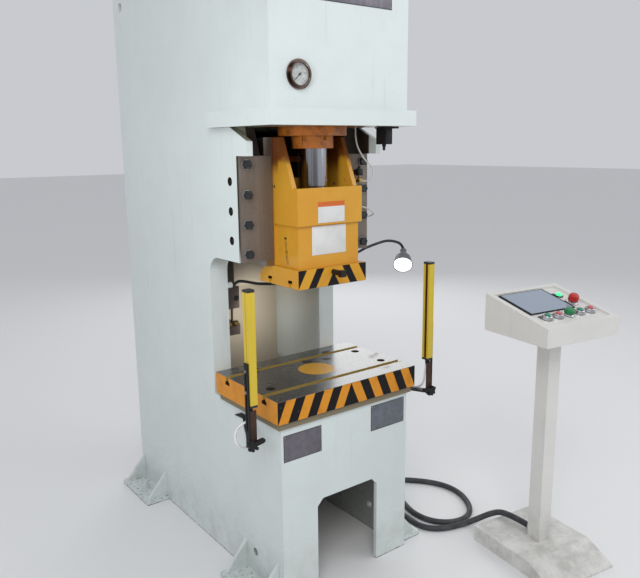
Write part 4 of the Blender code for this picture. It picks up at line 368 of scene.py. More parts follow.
def brushed(name, colour, roughness, stretch=EVEN, seed=0.0):
    """Metal with grinding lines along one axis."""
    s = Surface(name, colour, roughness, 1.0)
    lines = s.noise(60.0, 4.0, stretch, 0.7, seed)
    s.tint(s.ramp(lines, 0.35, 0.75), shade(colour, 0.62), 0.55)
    s.rough(s.noise(9.0, 4.0, seed=seed + 3.0), min(1.0, roughness + 0.2), 0.5)
    s.bump(lines, 0.12, 0.0004)
    return s


def slanted(s, value, first, width):
    """1 on every second stripe, counted outwards from the first one's edge."""
    count = s.math("DIVIDE", s.minus(value, first), width)
    half = s.product(s.math("FLOOR", count), 0.5)
    return s.ramp(s.size(s.math("FRACT", half)), 0.2, 0.3)


def bolster_finish():
    """Ground top with slots darkened by rust and painted shade, painted sides and a striped front."""
    top, bottom, middle = 0.78, 0.6966, 0.193
    s = Surface("bolster_finish", (0.222, 0.224, 0.22), 0.27, 0.78)
    grinding = s.noise(70.0, 4.0, (0.06, 8.0, 1.0), 0.7)
    s.tint(s.ramp(grinding, 0.3, 0.72), (0.165, 0.166, 0.16), 0.5)
    stains = s.ramp(s.noise(7.0, 6.0, (1.0, 1.6, 1.0), 0.7, 2.0), 0.56, 0.74)
    s.tint(stains, (0.13, 0.11, 0.085), 0.55)
    s.rough(stains, 0.48, 0.8)
    oil = ((-0.215, 0.33, 0.04), (0.025, 0.285, 0.03), (0.105, 0.262, 0.02), (0.16, 0.335, 0.03))
    for x, y, radius in oil:
        ragged = s.plus(s.apart(s.x, s.y, x, y), s.product(s.noise(55.0, 4.0, seed=x), 0.045))
        patch = s.ramp(ragged, radius + 0.024, radius + 0.008)
        s.tint(patch, GRIME, 0.75)
        s.rough(patch, 0.65)
    scratches = s.ramp(s.noise(46.0, 3.0, (9.0, 0.5, 1.0), 0.6, 8.0), 0.7, 0.76)
    s.tint(scratches, (0.4, 0.4, 0.39), 0.4)
    # The slots' walls are painted down to the undercut, with a little paint over their edges
    for y in (0.066, 0.32):
        beside = s.size(s.minus(s.y, y))
        ragged = s.plus(beside, s.waver(0.006, 60.0, 4.0, (1.0, 0.2, 0.2)))
        band = s.product(s.ramp(ragged, 0.0125, 0.011), s.ramp(s.z, top - 0.019, top - 0.0175))
        s.tint(band, (0.33, 0.215, 0.035), 0.9)
        s.metal(band, 0.0)
        s.rough(band, 0.6)
    # Painted shade and rust: inside the undercuts and holes everything is darkened to a near-black rusty
    # brown
    inside = s.product(s.within(s.x, -0.3235, 0.3235), s.within(s.y, -0.0195, 0.4055))
    away, aside = s.size(s.x), s.size(s.minus(s.y, middle))
    holes = s.ramp(s.apart(away, aside, 0.265, 0.08), 0.018, 0.0172)
    holes = s.product(holes, s.ramp(s.z, top - 0.0012, top - 0.0022))
    depth = s.most(s.ramp(s.z, top - 0.0175, top - 0.019), holes)
    inside = s.product(inside, depth)
    s.tint(inside, (0.035, 0.02, 0.012))
    s.metal(inside, 0.0)
    s.rough(inside, 0.75)
    outer = s.most(s.ramp(away, 0.3225, 0.3228), s.ramp(aside, 0.2115, 0.2118))
    edge = s.plus(s.z, s.waver(0.003, 50.0, 5.0))
    painted = s.product(outer, s.ramp(edge, top - 0.0008, top - 0.0016))
    s.tint(painted, (0.64, 0.255, 0.02))
    darker = s.product(painted, s.ramp(s.noise(24.0, 5.0, seed=4.0), 0.45, 0.75))
    s.tint(darker, (0.52, 0.19, 0.014))
    front = s.product(painted, s.ramp(s.y, -0.018, -0.0186))
    height = s.math("DIVIDE", s.minus(s.z, bottom), top - bottom)
    slant, first, width, soft = 0.036, 0.036, 0.0411, 0.0002
    lean = s.plus(s.product(height, slant), s.waver(0.0016, 80.0, 2.0, seed=6.0))
    along = s.plus(away, lean)
    stripes = s.product(s.ramp(along, first - soft, first + soft), slanted(s, along, first, width))
    black = s.most(stripes, s.ramp(along, first + soft, first - soft))
    s.tint(s.product(front, black), STRIPE_BLACK)
    s.metal(painted, 0.0)
    s.rough(painted, 0.34)
    chips = s.product(painted, s.ramp(s.noise(95.0, 3.0, seed=11.0), 0.72, 0.76))
    s.tint(chips, (0.3, 0.27, 0.23), 0.8)
    s.bump(grinding, 0.1, 0.0004)
    s.bump(s.noise(260.0, 2.0), 0.08, 0.0005)
    return s.dull(0.18).done()


def slide_finish(name, plate=False):
    """Golden enamel, worn and smeared with grease, with painted shade under the head and in the slots, and
    stripes across the slide plate's front.
    """
    s = enamel(name, GOLD, 0.3, 0.0, 4.0)
    s.mottle(5.0, (0.56, 0.24, 0.018), 0.65, 12.0)
    grease = s.ramp(s.noise(10.0, 6.0, (1.4, 1.0, 0.6), 0.7, 15.0), 0.62, 0.82)
    s.tint(grease, (0.18, 0.085, 0.022), 0.32)
    chips = s.ramp(s.noise(70.0, 4.0, seed=21.0), 0.74, 0.78)
    s.tint(chips, (0.13, 0.09, 0.06), 0.7)
    away = s.size(s.x)
    if plate:
        bottom, thick, slant = 1.128, 0.069, 0.0385
        share = s.math("DIVIDE", s.minus(s.z, bottom), thick)
        lean = s.minus(away, s.product(s.minus(1.0, share), slant))
        front = s.ramp(s.y, 0.083, 0.0822)
        # Black on each side of the middle, at the corners and in the middle's point
        bands = s.most(s.within(lean, 0.041, 0.0755, 0.0003), s.ramp(lean, 0.1192, 0.1198))
        bands = s.most(bands, s.ramp(lean, -0.0097, -0.0103))
        s.tint(s.product(front, bands), STRIPE_BLACK)
        # Painted shade: the slots' undercuts are darkened near black, and the neck keeps its paint
        heads = s.product(
            s.within(s.z, 1.1438, 1.1562), s.ramp(away, 0.1556, 0.1553), s.ramp(s.y, 0.095, 0.096)
        )
        s.tint(heads, (0.02, 0.012, 0.008))
        under = s.ramp(s.z, 1.129, 1.1284)
        s.tint(under, (0.28, 0.27, 0.25))
        s.metal(under, 0.9)
        s.rough(under, 0.42)
        return s.dull(0.28).done()
    # Painted shadow: browner under the head, where the head's shadow falls on the slide
    head_shadow_line = s.plus(s.z, s.waver(0.09, 14.0, 5.0))
    s.tint(s.ramp(head_shadow_line, 1.555, 1.59), (0.17, 0.048, 0.009), 0.97)
    # Painted shade: a near-black disc stands for a threaded hole in the inner side of each wing
    bore = s.product(s.ramp(s.apart(s.y, s.z, 0.236, 1.486), 0.0052, 0.0046), s.ramp(away, 0.16, 0.155))
    s.tint(bore, (0.012, 0.009, 0.008))
    # Painted shade: the wings' upper back is darker still, where it lies in shade
    behind = s.product(s.ramp(s.z, 1.52, 1.58), s.ramp(s.y, 0.205, 0.215))
    s.tint(behind, (0.175, 0.044, 0.008), 0.8)
    rubbed = s.product(s.ramp(away, 0.148, 0.15), s.ramp(s.y, 0.238, 0.241))
    s.tint(rubbed, (0.3, 0.28, 0.25))
    s.metal(rubbed, 0.9)
    # Dirt streak with a notch above it on the block's flanks
    beyond = s.ramp(away, 0.1365, 0.1372)
    flank = s.product(beyond, s.ramp(away, 0.1402, 0.1396), s.within(s.z, 1.207, 1.296, 0.004))
    middle = s.plus(0.174, s.product(s.minus(s.z, 1.207), 0.13))
    aside = s.size(s.minus(s.y, middle))
    streak = s.product(flank, s.ramp(aside, 0.0085, 0.005))
    s.tint(streak, (0.26, 0.125, 0.02), 0.45)
    grains = s.product(streak, s.ramp(s.noise(150.0, 3.0, (1.0, 1.0, 0.5), seed=31.0), 0.52, 0.62))
    s.tint(grains, (0.06, 0.035, 0.015), 0.85)
    # Painted shade: the notch above the streak is a near-black patch
    notch = s.product(beyond, s.within(s.y, 0.178, 0.192, 0.001), s.within(s.z, 1.2985, 1.306, 0.001))
    s.tint(notch, (0.012, 0.009, 0.008))
    return s.done()


def gib_finish(name, colour, bolts=False):
    """Milled steel plates gone brown with oil and handling, held by blackened screws."""
    s = brushed(name, colour, 0.46, (1.0, 1.0, 0.05), 3.0)
    stains = s.ramp(s.noise(9.0, 6.0, (1.0, 1.0, 0.35), 0.7, 6.0), 0.42, 0.72)
    s.tint(stains, (0.15, 0.112, 0.08), 0.55)
    s.rough(stains, 0.62)
    s.metal(1.0, 0.55)
    s.specks(120.0, (0.03, 0.022, 0.016), 0.68, 0.8, 9.0)
    if bolts:
        # Oil has run down towards the slide
        oil = s.ramp(s.size(s.x), 0.245, 0.175)
        s.tint(oil, (0.13, 0.085, 0.05), 0.45)
        proud = s.ramp(s.y, 0.2316, 0.2313)
        s.tint(proud, (0.33, 0.335, 0.33))
        s.rough(proud, 0.34)
        head = s.ramp(s.y, 0.2285, 0.2281)
        s.tint(head, (0.034, 0.036, 0.04))
        s.rough(head, 0.36)
        worn = s.product(head, s.ramp(s.noise(90.0, 4.0, seed=12.0), 0.52, 0.72))
        s.tint(worn, (0.12, 0.12, 0.115), 0.5)
    return s.done()


def frame_finishes():
    """One enamel for the frame, and one stained with orange round the cylinder's seat, both with painted
    shade in hollows and underneath.
    """
    s = enamel("mint_enamel", MINT, low_darkening=0.34)
    away = s.size(s.x)
    # Inside the column the light coat is cream
    inside = s.product(s.ramp(s.y, 0.481, 0.484), s.ramp(s.y, 0.9345, 0.9335))
    inside = s.product(inside, s.ramp(away, 0.2995, 0.2985), s.ramp(s.z, 2.4462, 2.4456))
    s.tint(s.product(inside, s.level(0.25, s.ramp(s.z, 0.82, 1.02), 0.85)), CREAM)
    s.rough(inside, 0.5)
    # Painted shade: everything inside above the jaw is darkened to a near-black brown
    inner_shade_height = s.ramp(s.plus(s.z, s.product(s.noise(9.0, 4.0), 0.1)), 1.22, 1.36)
    reach = s.plus(0.284, s.product(s.ramp(s.z, 1.648, 1.64), 0.014))
    behind = s.ramp(s.minus(away, reach), 0.0006, -0.0006)
    below_head = s.ramp(s.z, 1.6958, 1.695)
    inner_shade = s.product(behind, s.within(s.y, 0.205, 1.2285), below_head, inner_shade_height)
    s.tint(inner_shade, (0.03, 0.019, 0.013))
    s.rough(inner_shade, 0.75)
    # Painted shade: the left plate's flare under the head is tinted a darker olive
    shaded_flare = s.product(s.ramp(away, 0.236, 0.24), s.ramp(away, 0.299, 0.2982), s.ramp(s.z, 1.646, 1.65))
    shaded_flare = s.product(shaded_flare, below_head, s.ramp(s.y, 0.42, 0.4), s.ramp(s.x, -0.1, -0.12))
    s.tint(shaded_flare, (0.3, 0.3, 0.23))
    # Painted shade: the base is darkened inside
    base = s.product(s.ramp(s.z, 0.64, 0.6), s.ramp(away, 0.2986, 0.2978), s.ramp(s.y, 0.0205, 0.0215))
    s.tint(base, (0.15, 0.14, 0.105), 0.62)
    # Painted shade: the adjusting screws sit in holes darkened near black
    for index in range(3):
        hole = s.ramp(s.apart(s.y, s.z, 0.288, 1.2973 + 0.1053 * index), 0.0166, 0.016)
        s.tint(s.product(hole, s.ramp(away, 0.2998, 0.2992)), (0.014, 0.013, 0.012))
    # Dirt trodden on to the feet and gathered along the floor
    foot = s.product(s.ramp(s.z, 0.0215, 0.0205), s.ramp(away, 0.3015, 0.303))
    trodden = s.ramp(s.noise(62.0, 6.0, roughness=0.75, seed=41.0), 0.56, 0.63)
    s.tint(s.product(foot, trodden), (0.05, 0.047, 0.04), 0.9)
    edge = s.ramp(s.plus(s.z, s.product(s.noise(40.0, 4.0), 0.008)), 0.0085, 0.0045)
    s.tint(edge, (0.025, 0.024, 0.023), 0.9)
    paint = s.done()
    s = enamel("shelf_enamel", MINT, seed=6.0)
    ragged = s.plus(s.apart(s.x, s.y, 0.0, 0.2), s.product(s.noise(24.0, 5.0), 0.06))
    under = s.product(s.ramp(s.z, 1.6962, 1.6955), s.ramp(ragged, 0.225, 0.2))
    # Painted shade: the plate's underside is tinted a darker olive
    s.tint(s.ramp(s.z, 1.6956, 1.6951), (0.255, 0.262, 0.2))
    s.tint(under, (0.33, 0.12, 0.022))
    return paint, s.done()


def cast_orange():
    """Orange paint with oil stains, on the cylinder's ring and gland."""
    s = enamel("cylinder_orange", (0.47, 0.15, 0.02), 0.42, 0.0, 8.0)
    oil = s.ramp(s.noise(26.0, 6.0, roughness=0.7, seed=5.0), 0.42, 0.66)
    s.tint(oil, (0.085, 0.035, 0.012), 0.7)
    s.rough(oil, 0.25, 0.6)
    return s.done()


def chrome_rod():
    """Hard chrome with an oil film, faint rings from the seals, and painted reflection: dark streaks and a
    brown side.
    """
    s = Surface("hard_chrome", (0.47, 0.48, 0.52), 0.12, 1.0)
    rings = s.noise(30.0, 3.0, (0.02, 0.02, 12.0), 0.6)
    s.tint(s.ramp(rings, 0.45, 0.75), (0.28, 0.28, 0.3), 0.2)
    # Painted reflection: dark streaks along the rod
    reflection_streaks = s.ramp(s.noise(34.0, 3.0, (1.0, 1.0, 0.02), 0.6, 3.0), 0.44, 0.62)
    s.tint(reflection_streaks, (0.085, 0.07, 0.06), 0.75)
    # Painted reflection: the side that faces the left wing is tinted brown, as the golden wing shows in it
    ragged = s.plus(s.x, s.product(s.noise(50.0, 3.0, (1.0, 1.0, 0.03), 0.6, 8.0), 0.024))
    wing_reflection = s.ramp(ragged, -0.03, -0.052)
    s.tint(wing_reflection, (0.11, 0.05, 0.022), 0.8)
    s.rough(s.noise(16.0, 4.0), 0.24, 0.5)
    s.bump(rings, 0.03, 0.0002)
    return s.done()


def curtain_finish():
    """Satin yellow aluminium with faint drawing lines and scuffs."""
    s = enamel("curtain_yellow", (0.6, 0.44, 0.03), 0.34, 0.0, 14.0)
    lines = s.noise(80.0, 3.0, (6.0, 6.0, 0.05), 0.6, 2.0)
    s.tint(s.ramp(lines, 0.45, 0.8), (0.42, 0.29, 0.02), 0.35)
    cap = s.most(s.ramp(s.z, 0.7916, 0.7911), s.ramp(s.z, 1.1714, 1.1719))
    s.tint(cap, (0.02, 0.02, 0.021))
    s.rough(cap, 0.5)
    return s.done()


def pair(*names):
    """The left and right piece of each name."""
    return [name + side for name in names for side in ("_left", "_right")]


def bevelled(name, width, segments):
    """Round a CAD piece's edges."""
    change = NODES[name].modifiers.new("edges", "BEVEL")
    change.width = width
    change.segments = segments
    change.limit_method = "ANGLE"
    change.angle_limit = math.radians(40.0)
    change.harden_normals = False
    change.use_clamp_overlap = True


def dress(finish, *names):
    """Give CAD pieces a finish."""
    for name in names:
        materials = NODES[name].data.materials
        if len(materials):
            for index in range(len(materials)):
                materials[index] = finish
        else:
            materials.append(finish)


def glowing(name, colour, strength, roughness=0.25):
    """A lit lens or display."""
    s = Surface(name, colour, roughness)
    s.bump(s.noise(340.0, 2.0), 0.08, 0.0004)
    return s.shine({"Emission Color": (*colour, 1.0), "Emission Strength": strength}).done()


def clear_glass():
    """Thin clear cover."""
    s = Surface("clear_cover", (0.95, 0.97, 0.97), 0.04)
    s.rough(s.noise(60.0, 4.0), 0.12, 0.3)
    return s.shine({"Transmission Weight": 1.0, "IOR": 1.12}).done()


def dress_nodes():
    """Every CAD piece that shows gets its own worn finish."""
    paint, shelf = frame_finishes()
    frame_nodes = pair("side_plate", "foot_front", "foot_rear")
    frame_nodes += ["apron_plate", "head_shell", "rear_cover"]
    dress(paint, *frame_nodes)
    dress(enamel("bed_khaki", (0.2, 0.165, 0.1), 0.55, 0.0, 5.0).done(), "bed_plate")
    dress(shelf, "cylinder_plate")
    dress(bolster_finish(), "bolster")
    dress(slide_finish("slide_gold"), "slide_body")
    dress(slide_finish("slide_plate_gold", True), "slide_plate")
    dress(enamel("plug_gold", (0.6, 0.3, 0.022), 0.4, 0.0, 2.0).done(), "bolster_plug")
    dress(cast_orange(), "lock_ring", "gland_ring")
    dress(chrome_rod(), "piston_rod", "gauge_case")
    dress(gib_finish("gib_steel", (0.235, 0.205, 0.18), True), *pair("gib_front"))
    dress(gib_finish("gib_dark", (0.09, 0.08, 0.07)), *pair("gib_side"))
    dress(curtain_finish(), *pair("curtain_post"))
    black = plain("black_satin", (0.01, 0.01, 0.011), 0.42, seed=5.0).dull(0.25).done()
    dress(black, "conduit_gland", "touch_screen", "lamp_arm", *pair("curtain_bar", "curtain_knob"))
    dress(plain("blackened_bolt", (0.045, 0.043, 0.042), 0.38, 0.9).done(), "shank_bolt", "gauge_needle")
    grey = plain("machine_grey", (0.105, 0.115, 0.12), 0.45, 0.2, 120.0).done()
    dress(grey, "pump_motor", "cylinder_barrel")
    dress(plain("valve_iron", (0.125, 0.094, 0.078), 0.5, 0.2).done(), "valve_manifold")
    dress(plain("pipe_brown", (0.09, 0.048, 0.03), 0.5, 0.2).done(), "supply_pipe", "delivery_pipe")
    dress(enamel("tank_beige", (0.35, 0.3, 0.225), 0.42, 0.2, 9.0).done(), "oil_tank")
    console = enamel("console_white", (0.69, 0.68, 0.65), 0.34, 0.6, 17.0).done()
    dress(console, "console_base", "console_column", "console_head")
    dress(plain("nylon_tube", (0.62, 0.61, 0.58), 0.35).done(), "lube_tube_upper", "lube_tube_lower")
    dress(brushed("zinc", (0.42, 0.43, 0.45), 0.34).done(), "console_sleeve")
    dress(plain("shade_grey", (0.12, 0.125, 0.13), 0.36, 0.3).done(), "lamp_shade")
    dress(glowing("lamp_light", (1.0, 1.0, 1.0), 3.0), "lamp_lens")
    dress(clear_glass(), "gauge_glass")
    for name, colour, roughness, nodes in (
        ("button_green", (0.012, 0.21, 0.07), 0.28, ["button_press"]),
        ("button_red", (0.48, 0.018, 0.014), 0.28, ["emergency_stop"]),
        ("cap_green", (0.035, 0.25, 0.15), 0.22, ["button_start", "button_down"]),
        ("cap_red", (0.56, 0.105, 0.1), 0.22, ["button_up", "button_motor_stop"]),
    ):
        dress(plain(name, colour, roughness, grain=90.0).done(), *nodes)
    dress(glowing("pilot_green", (0.05, 0.9, 0.25), 1.2), "pilot_lamp")
    for width, segments, names in (
        (0.0016, 2, ("bed_plate", *frame_nodes)),
        (0.0015, 2, ("cylinder_plate", "bolster", "slide_body", "slide_plate")),
        (0.0022, 3, ("console_head", "console_column", "console_base")),
        (0.001, 2, ("oil_tank", *pair("curtain_post"))),
        (0.0008, 2, ("valve_manifold", "shank_bolt", *pair("gib_front"))),
        (0.0007, 2, ("touch_screen", *pair("curtain_bar"))),
    ):
        for name in names:
            bevelled(name, width, segments)


def add_mesh(name, shape, finish, body="press", smooth=True):
    """A new piece that rides on a body."""
    bmesh.ops.recalc_face_normals(shape, faces=shape.faces)
    mesh = bpy.data.meshes.new(name)
    shape.to_mesh(mesh)
    shape.free()
    mesh.materials.append(finish)
    if smooth:
        for polygon in mesh.polygons:
            polygon.use_smooth = True
        mesh.set_sharp_from_angle(angle=math.radians(35.0))
    item = linked(name, mesh)
    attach(item, body)
    return item


def slab(low, high, round_edge=0.0):
    """A thin plate between two corners, with its edges rounded."""
    shape = bmesh.new()
    bmesh.ops.create_cube(shape, size=1.0)
    bmesh.ops.scale(shape, vec=[high[k] - low[k] for k in range(3)], verts=shape.verts)
    bmesh.ops.translate(shape, vec=[(high[k] + low[k]) / 2 for k in range(3)], verts=shape.verts)
    if round_edge:
        bmesh.ops.bevel(
            shape, geom=shape.edges[:], offset=round_edge, segments=2, affect="EDGES", profile=0.5,
            clamp_overlap=True,
        )
    return shape


def round_angles(count):
    """Angles spaced evenly round a circle."""
    return [math.tau * index / count for index in range(count)]


def lathe(profile, sides):
    """Turn a closed (radius, height) profile about Z."""
    shape = bmesh.new()
    rings = []
    for radius, height in profile:
        if radius < 1e-7:
            rings.append([shape.verts.new((0.0, 0.0, height))])
            continue
        places = [
            (radius * math.cos(angle), radius * math.sin(angle), height) for angle in round_angles(sides)
        ]
        rings.append([shape.verts.new(place) for place in places])
    for index, first in enumerate(rings):
        second = rings[(index + 1) % len(rings)]
        if len(first) == 1 and len(second) == 1:
            continue
        for step in range(sides):
            after = (step + 1) % sides
            corners = [first[step % len(first)], first[after % len(first)]]
            corners += [second[after % len(second)], second[step % len(second)]]
            unique = list(dict.fromkeys(corners))
            if len(unique) > 2:
                shape.faces.new(unique)
    return shape


def skin(shape, rings):
    """Join rings of points, one after another, and close both ends."""
    for first, second in zip(rings, rings[1:]):
        for step in range(len(first)):
            after = (step + 1) % len(first)
            shape.faces.new((first[step], first[after], second[after], second[step]))
    shape.faces.new(rings[0][::-1])
    shape.faces.new(rings[-1])
    return shape


def gather(shapes):
    """Several shapes as one mesh."""
    whole = bmesh.new()
    for shape in shapes:
        copy = bpy.data.meshes.new("copy")
        shape.to_mesh(copy)
        whole.from_mesh(copy)
        shape.free()
        bpy.data.meshes.remove(copy)
    return whole


def moved(shape, matrix):
    """Move a shape."""
    bmesh.ops.transform(shape, matrix=matrix, verts=shape.verts)
    return shape


def facing(place, axis):
    """A frame at a place, whose Z points along an axis."""
    return Matrix.Translation(place) @ Vector(axis).to_track_quat("Z", "Y").to_matrix().to_4x4()


def turned(profile, sides, place, axis=FORWARD):
    """A lathe shape at a place, pointing along an axis."""
    return moved(lathe(profile, sides), facing(place, axis))


def swept(points, radius, sides, ribs):
    """A closed tube along points. ribs gives a factor for the radius at each point."""
    shape = bmesh.new()
    rings = []
    side = (points[1] - points[0]).normalized().orthogonal().normalized()
    for index, point in enumerate(points):
        ahead = points[min(index + 1, len(points) - 1)] - points[max(index - 1, 0)]
        ahead.normalize()
        side = (side - ahead * side.dot(ahead)).normalized()
        other = ahead.cross(side)
        width = radius * ribs[index]
        ring = []
        for angle in round_angles(sides):
            spot = point + side * (width * math.cos(angle)) + other * (width * math.sin(angle))
            ring.append(shape.verts.new(spot))
        rings.append(ring)
    return skin(shape, rings)


def cord_curve(name, points, radius, resolution, finish, kind="POLY"):
    """A round curve along points, which rides on the press."""
    curve = bpy.data.curves.new(name, "CURVE")
    curve.dimensions = "3D"
    curve.bevel_depth = radius
    curve.bevel_resolution = resolution
    curve.use_fill_caps = True
    spline = curve.splines.new(kind)
    spline.points.add(len(points) - 1)
    for knot, point in zip(spline.points, points):
        knot.co = (*point, 1.0)
    if kind == "NURBS":
        spline.order_u = 3
        spline.use_endpoint_u = True
        spline.resolution_u = 4
    curve.materials.append(finish)
    cord = linked(name, curve)
    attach(cord, "press")
    return cord


def make_conduit():
    """The black conduit over the floor."""
    s = plain("conduit_black", (0.03, 0.032, 0.037), 0.5, seed=2.0)
    dust = s.ramp(s.noise(22.0, 5.0, seed=7.0), 0.45, 0.75)
    s.tint(dust, (0.2, 0.19, 0.175), 0.25)
    points = smooth_route(conduit_route(), CONDUIT_POINTS)
    for point in points:
        point.z = max(point.z, CONDUIT_RADIUS)
    run = cord_curve("conduit_run", points, CONDUIT_RADIUS, 6, s.done(), "NURBS")
    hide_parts("conduit")


def make_plates():
    """Bare plates on head, apron and slide."""
    s = brushed("sign_aluminium", (0.23, 0.215, 0.245), 0.42, (1.0, 1.0, 0.05), 5.0)
    s.tint(s.product(s.ramp(s.x, 0.0, 0.01), s.ramp(s.z, 1.0, 0.9)), (0.205, 0.232, 0.265))
    s.mottle(40.0, (0.15, 0.14, 0.155), 0.6, 3.0)
    aluminium = s.done()
    border = plain("sign_border", (0.07, 0.08, 0.095), 0.4, 0.4, seed=6.0).done()
    white = plain("sign_white", (0.64, 0.64, 0.63), 0.35, seed=8.0).done()
    amber = plain("sign_amber", (0.6, 0.125, 0.016), 0.35, seed=9.0).done()
    rivet = plain("rivet", (0.42, 0.42, 0.43), 0.3, 1.0).done()
    dome = [(0.0, 0.0), (0.0022, 0.0), (0.0018, 0.0007), (0.0008, 0.0011), (0.0, 0.0012)]
    rim, inset = 0.0028, 0.006
    for name, left, right, low, high, y in (
        ("head_plate", -0.2195, 0.2195, 2.09, 2.21, HEAD_Y),
        ("apron_plate_left", -0.291, -0.125, 0.543, 0.643, 0.0),
        ("apron_plate_right", 0.113, 0.285, 0.553, 0.655, 0.0),
    ):
        front = y - 0.0014
        plate = slab(at(left + rim, front, low + rim), at(right - rim, y - 0.0008, high - rim), 0.0002)
        add_mesh(name, plate, aluminium)
        back = slab(at(left, y - 0.001, low), at(right, y - 0.0003, high), 0.0002)
        add_mesh(name + "_border", back, border)
        corners = [(x, z) for x in (left + inset, right - inset) for z in (low + inset, high - inset)]
        add_mesh(name + "_rivets", gather([turned(dome, 12, at(x, front, z)) for x, z in corners]), rivet)
    for name, low, high, round_edge, finish in (
        ("slide_sticker", (-0.058, 0.0932, 1.358), (0.063, 0.0937, 1.4155), 0.0, white),
        ("slide_sticker_header", (-0.058, 0.0932, 1.4157), (0.063, 0.0937, 1.433), 0.0, amber),
        ("slide_board", (-0.078, 0.1043, 1.242), (0.078, 0.1053, 1.346), 0.0003, white),
    ):
        add_mesh(name, slab(at(*low), at(*high), round_edge), finish, "ram")


def make_gauge():
    """Dial with graduations and numbers, flange screws."""
    flange = HEAD_Y - 0.0003
    dial = Vector((0, flange - 0.016 + 0.01, 0))
    centre = at(-0.187, 0.0, 1.855)
    first, sweep = -135.0, 270.0
    steps, majors = 50, 5
    white = plain("dial_white", (0.72, 0.72, 0.7), 0.5, grain=500.0).done()
    ink = plain("dial_ink", (0.015, 0.015, 0.015), 0.5).done()
    face = [(0.0, 0.0), (0.0352, 0.0), (0.0352, 0.0001), (0.0, 0.0001)]
    add_mesh("gauge_dial", turned(face, 48, centre + dial), white)
    marks = []
    for index in range(steps + 1):
        angle = math.radians(first + sweep * index / steps)
        inner = 0.0255 if index % 10 == 0 else (0.0275 if index % 5 == 0 else 0.029)
        width = 0.00055 if index % 10 == 0 else 0.00028
        bar = slab((-width, -0.00022, inner), (width, -0.00012, 0.0315))
        marks.append(moved(bar, Matrix.Translation(centre + dial) @ Matrix.Rotation(angle, 4, "Y")))
    add_mesh("gauge_marks", gather(marks), ink, smooth=False)
    for index in range(majors + 1):
        angle = math.radians(first + sweep * index / majors)
        text = bpy.data.curves.new("gauge_number_%d" % index, "FONT")
        text.body = str(5 * index)
        text.size = 0.0062
        text.align_x = "CENTER"
        text.align_y = "CENTER"
        text.extrude = 0.00004
        text.materials.append(ink)
        item = linked("gauge_number_%d" % index, text)
        spot = centre + Vector((0.0205 * math.sin(angle), dial.y - 0.00018, 0.0205 * math.cos(angle)))
        item.matrix_world = Matrix.Translation(spot) @ Matrix.Rotation(math.radians(90.0), 4, "X")
        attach(item, "press")
    pan = [(0.0, 0.0), (0.0026, 0.0), (0.0026, 0.0008), (0.0018, 0.0014), (0.0, 0.0016)]
    screws = []
    for degrees in (30.0, 150.0, 270.0):
        angle = math.radians(degrees)
        spot = centre + Vector((0.0443 * math.sin(angle), flange - 0.005, 0.0443 * math.cos(angle)))
        screws.append(turned(pan, 16, spot))
    add_mesh("gauge_screws", gather(screws), plain("screw_dark", (0.06, 0.06, 0.06), 0.35, 0.9).done())


def make_curtain_parts():
    """Windows and screws of the light curtains."""
    lens = plain("curtain_window", (0.06, 0.012, 0.014), 0.12).done()
    steel = plain("screw_steel", (0.4, 0.4, 0.41), 0.3, 1.0).done()
    socket = [(0.0, 0.0), (0.0055, 0.0), (0.0055, 0.003), (0.0048, 0.0038), (0.0024, 0.0038)]
    socket += [(0.0024, 0.0018), (0.0, 0.0018)]
    for name, side in SIDES:
        x = side * POST_X
        deep = x - side * POST_HALF + side * 0.004
        low = at(min(deep, deep - side * 0.001), -0.0066, 0.7925)
        high = at(max(deep, deep - side * 0.001), 0.0066, 1.1705)
        add_mesh("curtain_window_" + name, slab(low, high), lens)
        bar = x + side * (POST_HALF + 0.0003 + 0.006)
        heads = [turned(socket, 18, at(bar, 0.0, z), (side, 0, 0)) for z in (0.909, 0.836)]
        add_mesh("curtain_screws_" + name, gather(heads), steel)


def grown(outline, low, high):
    """A closed plate over an outline in the design frame's X and Y."""
    shape = bmesh.new()
    return skin(shape, [[shape.verts.new(at(x, y, z)) for x, y in outline] for z in (low, high)])


def handle_reach(angle, lobes, hub):
    """How far a lobed handle reaches in a direction."""
    reach = hub
    for degrees, length, half_width in lobes:
        apart = (angle - math.radians(degrees) + math.pi) % math.tau - math.pi
        if abs(apart) > 1.5:
            continue
        along = length * math.cos(apart)
        aside = abs(length * math.sin(apart))
        flank = half_width / max(abs(math.sin(apart)), 1e-6)
        if flank * math.cos(apart) > length and aside < half_width:
            flank = along + math.sqrt(half_width ** 2 - aside ** 2)
        reach = max(reach, flank if aside < half_width else min(flank, length))
    return reach


def make_handle(name, side, finish):
    """Clamping handle with one long lobe towards the press, on the knob's own axis."""
    lobes = ((8, 0.045, 0.0085), (-36, 0.025, 0.0058), (-76, 0.019, 0.0055), (-116, 0.0155, 0.005))
    lobes += ((150, 0.01, 0.0062), (80, 0.011, 0.0062))
    shape = bmesh.new()
    rings = []
    for y, scale in ((-0.0115, 0.93), (-0.0124, 1.0), (-0.0222, 1.0), (-0.0233, 0.91)):
        ring = []
        for angle in round_angles(120):
            reach = handle_reach(angle, lobes, 0.0115) * scale
            spot = (side * (KNOB_X - reach * math.cos(angle)), y, KNOB_Z + reach * math.sin(angle))
            ring.append(shape.verts.new(at(*spot)))
        rings.append(ring)
    item = add_mesh("curtain_handle_" + name, skin(shape, rings), finish, name + "_knob")
    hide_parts("curtain_knob_" + name)


